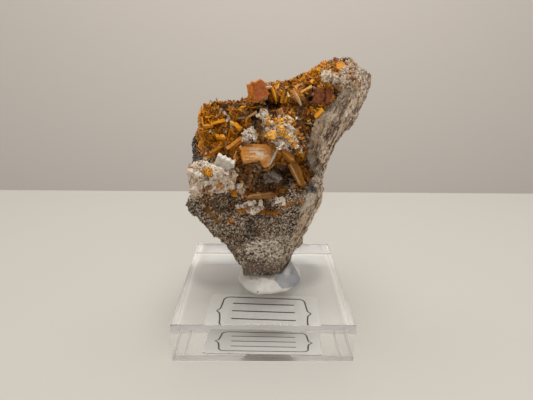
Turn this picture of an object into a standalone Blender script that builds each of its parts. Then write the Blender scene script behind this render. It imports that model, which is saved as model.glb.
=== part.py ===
"""Wulfenite on matrix: a small piece of rock whose front is lined with tabular crystals.

The rock stands on its tip in a collar of clear putty, on a square block of clear acrylic
with a small label stuck underneath. Sizes below are in millimetres; the model is in metres.
+X is the viewer's right, -Y is towards the viewer and +Z is up. The origin is the middle
of the block's underside.
"""

import math
import random

import bmesh
import bpy
import numpy as np
from mathutils import Matrix, Vector, noise
from mathutils.bvhtree import BVHTree

MM = 0.001

# Acrylic block, label and putty
BLOCK_SIDE = 50.8
BLOCK_HEIGHT = 12.0
BLOCK_CHAMFER = 0.5
LABEL_LENGTH = 34.5
LABEL_WIDTH = 18.0
LABEL_THICKNESS = 0.2
LABEL_CENTRE = (0.0, -11.6)
LABEL_TURN = math.radians(-2.5)
LABEL_CORNER = 1.5
RECESS_DEPTH = 0.6
PUTTY_BASE_RADIUS = (9.6, 8.6)
PUTTY_CENTRE = (1.8, -1.6)
PUTTY_HEIGHT = 6.6

# Gaps between neighbours
GAP = 0.3
ROOT_GAP = 0.45
ROOM_VOXEL = 0.6
ROOM_FACES = 2700

# The point that the front was measured from: what stands on the face is placed along
# the line of sight from here
VIEWPOINT = Vector((-0.9, -117.6, 81.2))

# Rock: its edge seen from the front, clockwise from the tip, as (x, z)
ROCK_CORE = (2.0, 50.0)
ROCK_EDGE = [
    (-1.0, 13.6), (-6.4, 15.2), (-7.4, 18.8), (-10.9, 24.8), (-14.2, 28.6), (-18.8, 34.6),
    (-22.4, 38.2), (-22.6, 41.0), (-21.8, 44.0), (-21.6, 47.0), (-20.4, 50.0), (-19.6, 53.0),
    (-20.0, 56.0), (-18.3, 59.6), (-17.4, 64.4), (-17.2, 67.0), (-15.9, 69.3), (-12.9, 69.5),
    (-7.6, 69.4), (-4.2, 70.2), (-1.5, 72.2), (2.0, 73.9), (6.0, 74.3), (9.2, 74.7),
    (11.9, 77.0), (15.0, 79.0), (18.2, 80.2), (22.0, 82.0), (25.6, 81.2), (27.8, 79.4),
    (30.6, 77.6), (31.6, 75.0), (30.6, 72.4), (27.8, 67.4), (23.9, 62.9), (21.9, 59.0),
    (20.8, 54.8), (20.2, 50.8), (18.7, 47.7), (19.2, 45.2), (17.2, 39.5), (14.6, 34.0),
    (12.7, 28.8), (11.4, 25.6), (8.3, 19.6), (6.3, 16.0), (3.6, 13.8),
]
ROCK_FINENESS = 6
ROCK_VOXEL = 0.75
ROCK_FACES = 2500
ROCK_SEED = Vector((4.7, 1.9, 8.3))

# Depth of the rock's face (y) and of the edge between face and back
FACE_DEPTH = -9.5
EDGE_DEPTH = 1.0
EDGE_SLANT = 0.20
TIP_TOP = 34.0
TIP_FACE_DEPTH = -6.0
TIP_BACK_DEPTH = 4.5
HORN_FACE_DEPTH = -5.0
HORN_START = 66.0

# Broad forms of the face: (x, z, half width, half height, rise towards the viewer,
# crispness), where a higher crispness gives a flatter top or floor and a steeper rim
FACE_FORMS = [
    (-3.0, 35.0, 14.0, 6.0, 3.8, 1.0),
    (2.0, 42.4, 10.5, 1.9, 3.4, 1.6),
    (-14.5, 48.5, 6.5, 6.5, 2.2, 1.2),
    (3.2, 48.8, 8.2, 4.4, -9.5, 2.6),
    (11.4, 53.2, 3.2, 6.4, -5.2, 1.8),
    (-1.0, 56.2, 7.4, 2.4, 3.0, 1.6),
    (2.2, 68.0, 3.2, 2.2, -5.4, 1.8),
    (-2.0, 65.0, 1.6, 4.2, -4.6, 1.6),
    (15.4, 70.4, 4.6, 3.4, -4.4, 1.8),
    (21.0, 76.0, 5.0, 4.0, 1.6, 1.0),
    (-11.5, 63.2, 5.6, 4.4, -2.6, 1.8),
    (4.2, 61.2, 5.6, 3.2, 3.0, 1.3),
    (0.3, 39.8, 3.2, 1.6, -3.8, 1.6),
    (-4.6, 33.0, 2.0, 3.2, -3.2, 1.6),
    (-11.5, 41.4, 6.2, 1.9, -3.2, 1.6),
    (7.0, 34.0, 3.0, 6.0, -2.0, 1.2),
]
# The back's broken planes: y at the core, and how far y moves per millimetre of x and z
BACK_PLANES = [
    (11.5, 0.05, -0.03), (14.6, -0.46, 0.05), (15.2, 0.52, -0.10), (13.6, 0.08, -0.34),
    (13.2, -0.14, 0.30), (12.6, 0.30, 0.22),
]
THINNEST_BACK = 2.6

# Roughness of the break: blocks (size, height, width and depth of the joints between them),
# then grain, and flutes down the right flank
BLOCK_LAYERS = [(8.5, 3.0, 0.09, 0.5), (4.0, 1.3, 0.10, 0.2)]
BLOCK_SMOOTHING = 3
GRAIN_SIZE = 2.8
GRAIN_HEIGHT = 0.35
FLUTE_AXIS = Vector((0.36, 0.0, 0.93))
FLUTE_SIZE = 2.3
FLUTE_HEIGHT = 0.9
FLUTE_START = 37.0

# Wulfenite crust: the outline on the face that it covers, (x, z), and its plates
CRUST_EDGE = [
    (-17.9, 68.2), (-18.0, 57.8), (-13.2, 57.4), (-7.4, 56.6), (-6.0, 52.0), (-6.6, 46.2),
    (-1.5, 44.6), (6.0, 44.2), (10.6, 46.4), (13.4, 51.0), (14.8, 57.0), (15.6, 62.0),
    (16.8, 65.4), (19.2, 68.2), (22.4, 71.2), (22.6, 76.4), (20.4, 80.6), (15.0, 79.4),
    (11.0, 76.6), (5.5, 74.6), (1.0, 74.0), (-4.2, 70.6), (-13.0, 70.2),
]
CRUST_THICKNESS = 1.5
CRUST_VOXEL = 0.8
CRUST_SKIN_FACES = 1600
CRUST_BACK_LIMIT = 0.5
CRUST_FACES = 3600
CRUST_SEAT_GAP = 0.7
CRUST_SEAT_FACES = 1100
PLATE_COUNT = 46
PLATE_SIZES = (2.8, 4.8)
PLATE_THICKNESSES = (0.55, 0.85)
PLATE_SPACING = 2.2
PLATE_STANDS = (1.2, 2.0)
PLATE_MARGIN = 1.8
PLATE_FACING = -0.45
PLATE_SEED = 71

# Single crystals that stand out: name, place (x, y, z) that is moved back or forward along
# the line of sight until its centre stands this far off the rock, then length, width,
# thickness, and turns in degrees about X, then Y, then Z, from a plate facing the viewer.
# One with no distance has grown together with the one before it, and moves with that one
SINGLE_CRYSTALS = [
    ("wulfenite_red_twin", (-2.1, -9.6, 72.3), 8.0, 5.2, 5.0, 1.1, (8, -17, 12)),
    ("wulfenite_red_twin", (-3.7, -9.2, 72.2), None, 3.6, 3.4, 1.0, (-6, 8, -24)),
    ("wulfenite_tan_plate", (-2.1, -12.6, 56.6), 2.6, 8.4, 5.0, 1.3, (-18, 3, 8)),
    ("wulfenite_upper_blade", (6.1, -11.9, 56.7), 2.6, 4.2, 1.5, 1.1, (10, 38, 0)),
    ("wulfenite_lower_blade", (8.6, -11.0, 50.8), 6.8, 7.0, 2.3, 1.0, (12, 69, 10)),
    ("wulfenite_ledge_blade", (-1.2, -12.2, 45.0), 2.7, 8.2, 2.0, 1.1, (-24, -9, 4)),
    ("wulfenite_brown_plate", (14.0, -6.6, 71.1), 3.4, 5.2, 2.8, 0.8, (4, -72, -16)),
    ("wulfenite_brown_blade", (16.9, -6.2, 71.0), 3.4, 4.8, 1.8, 0.8, (0, -62, 24)),
    ("wulfenite_orange_tip", (19.7, -6.9, 78.6), 2.5, 2.6, 2.0, 0.8, (18, -8, 10)),
]

# White calcite: groups of overlapping lumps (x, y, z, radius), settled in the same way,
# and how far the lumps' centres stand off the rock
CALCITE_GROUPS = {
    "calcite_left_cluster": (0.9, [
        (-17.6, -11.0, 51.6, 3.5), (-13.6, -12.2, 52.4, 3.8), (-17.6, -11.0, 47.6, 3.5),
        (-13.4, -12.8, 48.0, 3.7), (-10.0, -11.8, 50.6, 3.1), (-10.4, -11.6, 46.8, 2.6),
    ]),
    "calcite_middle_seam": (1.5, [
        (-0.4, -10.2, 66.4, 1.6), (0.9, -10.9, 64.2, 1.8), (3.0, -12.0, 62.0, 2.3),
        (6.0, -12.0, 62.4, 2.1), (4.4, -12.2, 59.6, 2.0), (7.0, -11.6, 59.6, 1.8),
        (8.8, -11.0, 57.4, 1.6),
    ]),
    "calcite_upper_patch": (1.2, [
        (16.9, -6.2, 76.0, 2.0), (19.4, -6.6, 75.4, 2.2), (21.8, -5.8, 76.6, 2.2),
        (23.2, -4.6, 74.4, 1.9),
    ]),
    "calcite_left_bridge": (1.5, [
        (-4.6, -10.4, 61.8, 1.4), (-3.0, -10.6, 61.0, 1.5), (-5.4, -10.6, 60.0, 1.3),
    ]),
    "calcite_ledge_beads": (0.7, [
        (-4.8, -12.6, 41.9, 1.6), (-3.0, -12.6, 41.2, 1.7), (-1.4, -12.6, 41.9, 1.5),
    ]),
}
CALCITE_TABLET = ("calcite_white_tablet", (-10.4, -15.4, 54.2), 3.6, 5.4, 4.0, 1.3, (16, 14, -8))
CALCITE_FINENESS = 2
CALCITE_ROUGHNESS = 1.3
CALCITE_KNOB = 1.7


def smooth_step(low, high, value):
    """0 below low, 1 above high and a smooth rise between."""
    share = min(1.0, max(0.0, (value - low) / (high - low)))
    return share * share * (3.0 - 2.0 * share)


def hump(x, z, form):
    """What one broad form of the face adds at a point."""
    centre_x, centre_z, half_width, half_height, rise, crispness = form
    reach = ((x - centre_x) / half_width) ** 2 + ((z - centre_z) / half_height) ** 2
    return rise * math.exp(-reach ** crispness)


def clear_scene():
    for old in list(bpy.data.objects):
        bpy.data.objects.remove(old)


def make_material(name, colour, roughness, alpha=1.0, transmission=0.0):
    material = bpy.data.materials.new(name)
    material.use_nodes = True
    shader = material.node_tree.nodes["Principled BSDF"]
    shader.inputs["Base Color"].default_value = (*colour, 1.0)
    shader.inputs["Roughness"].default_value = roughness
    shader.inputs["Metallic"].default_value = 0.0
    shader.inputs["Alpha"].default_value = alpha
    shader.inputs["Transmission Weight"].default_value = transmission
    return material


def object_from(name, bm, material=None):
    """A linked object that holds the bmesh, whose points are in millimetres."""
    bmesh.ops.scale(bm, vec=(MM, MM, MM), verts=bm.verts)
    bmesh.ops.recalc_face_normals(bm, faces=bm.faces)
    mesh = bpy.data.meshes.new(name)
    bm.to_mesh(mesh)
    bm.free()
    made = bpy.data.objects.new(name, mesh)
    bpy.context.scene.collection.objects.link(made)
    if material:
        mesh.materials.append(material)
    return made


def as_tool(made):
    """Keeps an object as a cutter or a guide that is no piece of the specimen."""
    made.hide_render = True
    made.display_type = "WIRE"
    return made


def bake(made):
    """Replaces an object's mesh by its evaluated one and drops its modifiers."""
    graph = bpy.context.evaluated_depsgraph_get()
    graph.update()
    mesh = bpy.data.meshes.new_from_object(made.evaluated_get(graph))
    made.modifiers.clear()
    made.data = mesh
    return made


def combine(made, operation, other):
    """Applies one Boolean of made with another object."""
    boolean = made.modifiers.new(operation.lower(), "BOOLEAN")
    boolean.operation = operation
    boolean.object = other
    boolean.solver = "EXACT"
    boolean.use_self = operation == "UNION"
    return bake(made)


def keep_largest_island(made):
    """Deletes the small loose bits that a cut has left beside the main body."""
    bm = bmesh.new()
    bm.from_mesh(made.data)
    bmesh.ops.remove_doubles(bm, verts=bm.verts, dist=0.002 * MM)
    unseen = set(bm.faces)
    islands = []
    while unseen:
        island = []
        edge_of_search = [unseen.pop()]
        while edge_of_search:
            face = edge_of_search.pop()
            island.append(face)
            for edge in face.edges:
                for neighbour in edge.link_faces:
                    if neighbour in unseen:
                        unseen.remove(neighbour)
                        edge_of_search.append(neighbour)
        islands.append(island)
    islands.sort(key=len)
    spare = [face for island in islands[:-1] for face in island]
    bmesh.ops.delete(bm, geom=spare, context="FACES")
    bm.to_mesh(made.data)
    bm.free()
    return made


def remeshed(made, voxel):
    """Rebuilds a mesh as one even skin of this grid size."""
    even = made.modifiers.new("even", "REMESH")
    even.mode = "VOXEL"
    even.voxel_size = voxel * MM
    return bake(made)


def decimated(made, faces):
    """Thins a mesh to about this many triangles."""
    thin = made.modifiers.new("thin", "DECIMATE")
    thin.ratio = faces / sum(len(p.vertices) - 2 for p in made.data.polygons)
    return bake(made)


def swollen(made, name, distance):
    """A copy of an object whose points have moved out along their normals."""
    bm = bmesh.new()
    bm.from_mesh(made.data)
    bm.normal_update()
    for vert in bm.verts:
        vert.co += vert.normal * distance * MM
    bmesh.ops.scale(bm, vec=(1 / MM, 1 / MM, 1 / MM), verts=bm.verts)
    return as_tool(object_from(name, bm))


def room_round(made, name, distance, faces):
    """A clean closed cutter that stands this far off an object, in about this many faces."""
    return decimated(remeshed(swollen(made, name, distance), ROOM_VOXEL), faces)


class RockForm:
    """The rock's overall shape: a star-shaped outline with a face and a back."""

    def __init__(self):
        arms = [(x - ROCK_CORE[0], z - ROCK_CORE[1]) for x, z in ROCK_EDGE]
        turned = sorted((math.atan2(dz, dx), math.hypot(dx, dz)) for dx, dz in arms)
        self.angles = [angle for angle, _ in turned]
        self.radii = [radius for _, radius in turned]

    def radius(self, angle):
        return float(np.interp(angle, self.angles, self.radii, period=2 * math.pi))

    def edge_y(self, x):
        return EDGE_DEPTH + EDGE_SLANT * x

    def face_y(self, x, z):
        tip = 1.0 - smooth_step(14.0, TIP_TOP, z)
        horn = smooth_step(HORN_START, 80.0, z)
        depth = FACE_DEPTH + (TIP_FACE_DEPTH - FACE_DEPTH) * tip
        depth += (HORN_FACE_DEPTH - FACE_DEPTH) * horn
        return depth - sum(hump(x, z, form) for form in FACE_FORMS) * (1.0 - tip)

    def back_y(self, x, z):
        tip = 1.0 - smooth_step(14.0, TIP_TOP, z)
        away_x, away_z = x - ROCK_CORE[0], z - ROCK_CORE[1]
        depth = min(y + by_x * away_x + by_z * away_z for y, by_x, by_z in BACK_PLANES)
        depth = max(depth, self.edge_y(x) + THINNEST_BACK)
        return depth + (TIP_BACK_DEPTH - depth) * tip

    def flank_width(self, angle):
        """Share of the way in from the edge over which the face turns into the side."""
        to_right = max(0.0, math.cos(angle - math.radians(20)))
        return 0.07 + 0.15 * to_right

    def point(self, direction):
        """Where the rock's surface is, for a direction on the unit sphere."""
        angle = math.atan2(direction.z, direction.x)
        share = math.acos(min(1.0, abs(direction.y))) / (math.pi / 2)
        reach = self.radius(angle) * share
        x = ROCK_CORE[0] + reach * math.cos(angle)
        z = ROCK_CORE[1] + reach * math.sin(angle)
        width = self.flank_width(angle) if direction.y < 0 else 0.26
        roundness = 1.35 if direction.y < 0 else 1.9
        rise = 1.0 - max(0.0, 1.0 - (1.0 - share) / width) ** roundness
        end = self.face_y(x, z) if direction.y < 0 else self.back_y(x, z)
        edge = self.edge_y(x)
        return Vector((x, edge + (end - edge) * rise, z))


def block_relief(point, layer):
    """Relief of a break into angular blocks, each proud or sunk, with joints between."""
    size, height, joint_width, joint_depth = layer
    distances, centres = noise.voronoi(point / size + ROCK_SEED)
    level = noise.noise(centres[0] * 3.7)
    joint = math.exp(-(distances[1] - distances[0]) / joint_width)
    return height * level - joint_depth * joint


def rock_roughness(point, normal):
    """How far the broken surface stands out (mm) at a point of the smooth form."""
    relief = sum(block_relief(point, layer) for layer in BLOCK_LAYERS)
    relief += GRAIN_HEIGHT * noise.fractal(point / GRAIN_SIZE + ROCK_SEED, 1.0, 2.0, 2)
    share = smooth_step(0.35, 0.75, normal.x) * smooth_step(FLUTE_START, FLUTE_START + 5, point.z)
    along = point.dot(FLUTE_AXIS)
    across = point - FLUTE_AXIS * along * 0.85
    flute = noise.ridged_multi_fractal(across / FLUTE_SIZE + ROCK_SEED, 1.0, 2.0, 2, 1.0, 2.0)
    return relief * (1.0 - 0.6 * share) + FLUTE_HEIGHT * (flute - 1.0) * share


def make_rock(form, material):
    bm = bmesh.new()
    bmesh.ops.create_icosphere(bm, subdivisions=ROCK_FINENESS, radius=1.0)
    for vert in bm.verts:
        vert.co = form.point(vert.co.normalized())
    rock = remeshed(object_from("matrix_rock", bm), ROCK_VOXEL)
    rock.data.materials.append(material)
    moved = [
        vert.co + vert.normal * rock_roughness(vert.co / MM, vert.normal) * MM
        for vert in rock.data.vertices
    ]
    for vert, place in zip(rock.data.vertices, moved):
        vert.co = place
    worn = rock.modifiers.new("worn", "SMOOTH")
    worn.iterations = BLOCK_SMOOTHING
    return decimated(remeshed(rock, ROCK_VOXEL), ROCK_FACES)


def surface_of(made):
    """A tree of an object's faces, for finding points on it."""
    bm = bmesh.new()
    bm.from_mesh(made.data)
    tree = BVHTree.FromBMesh(bm)
    bm.free()
    return tree


def settled(surface, place, stand):
    """The place, moved along the line of sight until it stands this far off the rock."""
    place = Vector(place)
    sight = (place - VIEWPOINT).normalized()
    met = surface.ray_cast(VIEWPOINT * MM, sight)[0]
    if met is None:
        depth = surface.find_nearest(place * MM)[0].y / MM
        return place + sight * ((depth - place.y) / sight.y - stand)
    return met / MM - sight * stand


def tablet_bmesh(length, width, thickness, bevel=0.3):
    """A square-cut plate that faces the viewer, with slanted rims round both faces."""
    bm = bmesh.new()
    rings = []
    inset = bevel * thickness
    for y, inwards in ((-0.5, inset), (0.0, 0.0), (0.5, inset)):
        half_length = length / 2 - inwards
        half_width = width / 2 - inwards
        corners = ((-1, -1), (1, -1), (1, 1), (-1, 1))
        rings.append([
            bm.verts.new((i * half_length, y * thickness, k * half_width)) for i, k in corners
        ])
    bm.faces.new(rings[0])
    bm.faces.new(reversed(rings[2]))
    for low, high in zip(rings, rings[1:]):
        for i in range(4):
            j = (i + 1) % 4
            bm.faces.new((low[i], high[i], high[j], low[j]))
    return bm


def turned(turns):
    """The rotation for turns in degrees about X, then Y, then Z."""
    turn_x, turn_y, turn_z = (math.radians(turn) for turn in turns)
    spin = Matrix.Rotation(turn_z, 4, "Z") @ Matrix.Rotation(turn_x, 4, "X")
    return spin @ Matrix.Rotation(turn_y, 4, "Y")


def crystal_centres(specs, surface):
    """Where each crystal's centre comes to be."""
    centres = []
    for _, place, stand, *_ in specs:
        if stand is not None:
            shift = settled(surface, place, stand) - Vector(place)
        centres.append(Vector(place) + shift)
    return centres


def make_tablet(spec, centre, material, swell=0.0):
    """One single crystal, or, with swell, the socket that it stands in."""
    name, _, _, length, width, thickness, turns = spec
    bm = tablet_bmesh(length + 2 * swell, width + 2 * swell, thickness + 2 * swell)
    bmesh.ops.transform(bm, matrix=Matrix.Translation(centre) @ turned(turns), verts=bm.verts)
    if swell:
        return as_tool(object_from(name + "_socket", bm))
    return object_from(name, bm, material)


def make_crystals(specs, centres, finishes):
    """The single crystals, each in its own finish, with those that share a name joined."""
    made = {}
    for spec, centre in zip(specs, centres):
        name = spec[0]
        crystal = make_tablet(spec, centre, finishes[name.split("_")[1]])
        if name in made:
            combine(made[name], "UNION", as_tool(crystal))
        else:
            made[name] = crystal


def settled_group(surface, lumps, stand):
    """The lumps' centres, each settled half on its own and half with the whole group."""
    places = [Vector(lump[:3]) for lump in lumps]
    shifts = [settled(surface, place, stand) - place for place in places]
    shared = sum(shifts, Vector()) / len(shifts)
    return [place + (shift + shared) / 2 for place, shift in zip(places, shifts)]


def lump_bmesh(stand, lumps, surface, swell=0.0):
    """Overlapping angular lumps, as one loose mesh."""
    bm = bmesh.new()
    for centre, (_, _, _, radius) in zip(settled_group(surface, lumps, stand), lumps):
        ball = bmesh.ops.create_icosphere(bm, subdivisions=CALCITE_FINENESS, radius=1.0)
        for vert in ball["verts"]:
            outwards = vert.co.normalized()
            at = (centre + outwards * radius) / CALCITE_KNOB
            knobs = CALCITE_ROUGHNESS * math.sqrt(radius / 3.0) * noise.noise(at + ROCK_SEED)
            vert.co = centre + outwards * (radius + knobs + swell)
    return bm


def joined(made):
    """Joins the overlapping shapes of one mesh into a single body."""
    combine(made, "UNION", far_speck())
    return keep_largest_island(made)


def make_calcite(name, stand, lumps, surface, rock_room, material):
    """One white calcite group, and the room that its neighbours leave it."""
    wide = lump_bmesh(stand, lumps, surface, GAP)
    room = joined(as_tool(object_from(name + "_room", wide)))
    group = joined(object_from(name, lump_bmesh(stand, lumps, surface), material))
    combine(group, "DIFFERENCE", rock_room)
    keep_largest_island(group)
    return group, room


def far_speck():
    """A speck far below, for a union that only joins a mesh with itself."""
    speck = bpy.data.objects.get("speck")
    if speck:
        return speck
    bm = bmesh.new()
    bmesh.ops.create_cube(bm, size=0.5)
    bmesh.ops.translate(bm, vec=(0.0, 0.0, -50.0), verts=bm.verts)
    return as_tool(object_from("speck", bm))


def outline_prism(name, outline, near_y, far_y):
    """A prism along Y with this outline in XZ."""
    bm = bmesh.new()
    near = bm.faces.new([bm.verts.new((x, near_y, z)) for x, z in outline])
    pushed = bmesh.ops.extrude_face_region(bm, geom=[near])
    far = [item for item in pushed["geom"] if isinstance(item, bmesh.types.BMVert)]
    bmesh.ops.translate(bm, vec=(0.0, far_y - near_y, 0.0), verts=far)
    return as_tool(object_from(name, bm))


def inside(outline, x, z):
    """Whether a point of the front view lies in an outline."""
    crossings = 0
    for (x1, z1), (x2, z2) in zip(outline, outline[1:] + outline[:1]):
        if (z1 > z) != (z2 > z) and x < x1 + (z - z1) * (x2 - x1) / (z2 - z1):
            crossings += 1
    return crossings % 2 == 1


def plate_places(rock, draw):
    """Points of the rock's face under the crust, spread out, each with its normal."""
    margins = [(-PLATE_MARGIN, 0), (PLATE_MARGIN, 0), (0, -PLATE_MARGIN), (0, PLATE_MARGIN)]
    faces = [face for face in rock.data.polygons if face.normal.y < PLATE_FACING]
    draw.shuffle(faces)
    chosen = []
    for face in faces:
        at = face.center / MM
        if not all(inside(CRUST_EDGE, at.x + dx, at.z + dz) for dx, dz in margins):
            continue
        if all((at - other).length > PLATE_SPACING for other, _ in chosen):
            chosen.append((at, face.normal.copy()))
    return chosen[:PLATE_COUNT]


def plates_bmesh(rock):
    """The crust's plates: thin tablets that stand on edge or lean on the rock."""
    draw = random.Random(PLATE_SEED)
    plates = bmesh.new()
    for at, normal in plate_places(rock, draw):
        size = draw.uniform(*PLATE_SIZES)
        shape = (size, draw.uniform(*PLATE_THICKNESSES), size * draw.uniform(0.75, 1.0))
        plate = bmesh.new()
        bmesh.ops.create_cube(plate, size=1.0)
        bmesh.ops.scale(plate, vec=shape, verts=plate.verts)
        lean = Vector((draw.gauss(0, 1), draw.gauss(0, 0.5), draw.gauss(0, 1))).normalized()
        turn = Vector((0, 1, 0)).rotation_difference(lean).to_matrix().to_4x4()
        spin = Matrix.Rotation(draw.uniform(0, math.pi / 2), 4, "Y")
        centre = at + normal * draw.uniform(*PLATE_STANDS)
        plate.transform(Matrix.Translation(centre) @ turn @ spin)
        mesh = bpy.data.meshes.new("plate")
        plate.to_mesh(mesh)
        plate.free()
        plates.from_mesh(mesh)
        bpy.data.meshes.remove(mesh)
    return plates


def make_crust(rock, rooms, material):
    """The crust: a thin skin over the face, bristling with plates, cut to fit the rock."""
    crust = swollen(rock, "wulfenite_crust", ROOT_GAP + CRUST_THICKNESS)
    crust.hide_render = False
    crust.display_type = "TEXTURED"
    decimated(remeshed(crust, CRUST_VOXEL), CRUST_SKIN_FACES)
    combine(crust, "INTERSECT", outline_prism("crust_area", CRUST_EDGE, -30.0, CRUST_BACK_LIMIT))
    plates = as_tool(object_from("crust_plates", plates_bmesh(rock)))
    combine(plates, "UNION", far_speck())
    combine(crust, "UNION", plates)
    seat = room_round(rock, "crust_seat", CRUST_SEAT_GAP, CRUST_SEAT_FACES)
    for room in [seat, *rooms]:
        combine(crust, "DIFFERENCE", room)
    decimated(keep_largest_island(crust), CRUST_FACES)
    crust.data.materials.clear()
    crust.data.materials.append(material)
    return crust


def make_block(material):
    """The acrylic slab, chamfered, with a shallow recess for the label underneath."""
    bm = bmesh.new()
    bmesh.ops.create_cube(bm, size=1.0)
    bmesh.ops.scale(bm, vec=(BLOCK_SIDE, BLOCK_SIDE, BLOCK_HEIGHT), verts=bm.verts)
    bmesh.ops.translate(bm, vec=(0.0, 0.0, BLOCK_HEIGHT / 2), verts=bm.verts)
    bmesh.ops.bevel(
        bm, geom=bm.edges[:], offset=BLOCK_CHAMFER, segments=1, affect="EDGES", profile=0.5
    )
    block = object_from("acrylic_block", bm, material)
    recess = label_slab("label_recess", GAP, 2 * RECESS_DEPTH, 0.0)
    return combine(block, "DIFFERENCE", as_tool(recess))


def label_slab(name, margin, thickness, middle_z, material=None):
    """A thin plate of the label's outline, grown by a margin, centred at a height."""
    bm = bmesh.new()
    bmesh.ops.create_cube(bm, size=1.0)
    size = (LABEL_LENGTH + 2 * margin, LABEL_WIDTH + 2 * margin, thickness)
    bmesh.ops.scale(bm, vec=size, verts=bm.verts)
    upright = [edge for edge in bm.edges if abs(edge.verts[0].co.z - edge.verts[1].co.z) > 0.01]
    bmesh.ops.bevel(
        bm, geom=upright, offset=LABEL_CORNER, segments=4, affect="EDGES", profile=0.5
    )
    place = Matrix.Translation((*LABEL_CENTRE, middle_z)) @ Matrix.Rotation(LABEL_TURN, 4, "Z")
    bmesh.ops.transform(bm, matrix=place, verts=bm.verts)
    return object_from(name, bm, material)


def make_label(material):
    """The label: a thin film just inside the recess, clear of what the block stands on."""
    return label_slab("label", 0.0, LABEL_THICKNESS, RECESS_DEPTH - GAP - LABEL_THICKNESS / 2, material)


def putty_radius(share):
    """Radius of the putty at a share of its height, against that of its foot."""
    bulge = 0.05 * math.sin(math.pi * min(1.0, share * 2.2))
    return 1.0 + bulge - 0.27 * smooth_step(0.25, 1.0, share)


def make_putty(rock_room, material):
    """The lump of putty: a squeezed collar, smeared higher up the rock on its right."""
    rings, around = 6, 24
    bm = bmesh.new()
    rows = []
    for row in range(rings + 1):
        share = row / rings
        points = []
        for step in range(around):
            angle = 2 * math.pi * step / around
            smear = max(0.0, math.cos(angle - math.radians(20))) ** 2
            top = PUTTY_HEIGHT * (0.62 + 0.38 * smear)
            radius = putty_radius(share) * (1.0 + 0.05 * math.sin(3 * angle + 1.0))
            at_foot = 1.0 - 0.10 * (1.0 - smooth_step(0.0, 0.12, share))
            points.append(bm.verts.new((
                PUTTY_CENTRE[0] + PUTTY_BASE_RADIUS[0] * radius * at_foot * math.cos(angle),
                PUTTY_CENTRE[1] + PUTTY_BASE_RADIUS[1] * radius * at_foot * math.sin(angle),
                BLOCK_HEIGHT + GAP + top * share,
            )))
        rows.append(points)
    bm.faces.new(rows[0])
    bm.faces.new(reversed(rows[-1]))
    for low, high in zip(rows, rows[1:]):
        for step in range(around):
            after = (step + 1) % around
            bm.faces.new((low[step], low[after], high[after], high[step]))
    bmesh.ops.triangulate(bm, faces=bm.faces)
    putty = object_from("mounting_putty", bm, material)
    combine(putty, "DIFFERENCE", rock_room)
    return keep_largest_island(putty)


def main():
    clear_scene()
    rock_stone = make_material("matrix stone", (0.30, 0.26, 0.22), 0.95)
    orange = make_material("orange wulfenite", (0.55, 0.24, 0.05), 0.45)
    red = make_material("red wulfenite", (0.52, 0.17, 0.07), 0.35)
    tan = make_material("tan wulfenite", (0.62, 0.34, 0.13), 0.4)
    white = make_material("white calcite", (0.80, 0.76, 0.70), 0.8)
    acrylic = make_material("clear acrylic", (0.95, 0.96, 0.96), 0.03, 0.35, 1.0)
    film = make_material("label film", (0.86, 0.85, 0.80), 0.5)
    gum = make_material("clear putty", (0.80, 0.80, 0.80), 0.3, 0.8)

    form = RockForm()
    rock = make_rock(form, rock_stone)
    rock_room = room_round(rock, "rock_room", ROOT_GAP, ROOM_FACES)

    surface = surface_of(rock)
    specs = [*SINGLE_CRYSTALS, CALCITE_TABLET]
    centres = crystal_centres(specs, surface)
    sockets = [make_tablet(spec, at, None, GAP) for spec, at in zip(specs, centres)]
    finishes = dict.fromkeys(("red", "brown"), red)
    finishes.update(dict.fromkeys(("tan", "upper", "lower", "ledge"), tan))
    finishes.update(orange=orange, white=white)
    make_crystals(specs, centres, finishes)

    rooms = []
    for name, (stand, lumps) in CALCITE_GROUPS.items():
        group, room = make_calcite(name, stand, lumps, surface, rock_room, white)
        for socket in sockets:
            combine(group, "DIFFERENCE", socket)
        keep_largest_island(group)
        rooms.append(room)

    make_crust(rock, [*rooms, *sockets], orange)
    make_putty(rock_room, gum)
    for socket in sockets:
        combine(rock, "DIFFERENCE", socket)
    keep_largest_island(rock)
    make_block(acrylic)
    make_label(film)


main()
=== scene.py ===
"""Wulfenite on matrix: the finished look of a small mineral specimen on an acrylic block.

The rock is rebuilt as a fine broken skin round its solid, thousands of thin crystal plates
grow on its face, and the single crystals, the white calcite, the putty, the clear block and
the label get their detail and finish. Sizes in the settings and tables are in millimetres;
the scene is in metres. +X is the viewer's right, -Y is towards the viewer and +Z is up.
"""

import math
from contextlib import contextmanager

import bmesh
import bpy
import numpy as np
from bpy.props import FloatProperty, FloatVectorProperty, IntProperty, PointerProperty
from mathutils import Matrix, Vector, noise
from mathutils.bvhtree import BVHTree


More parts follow.
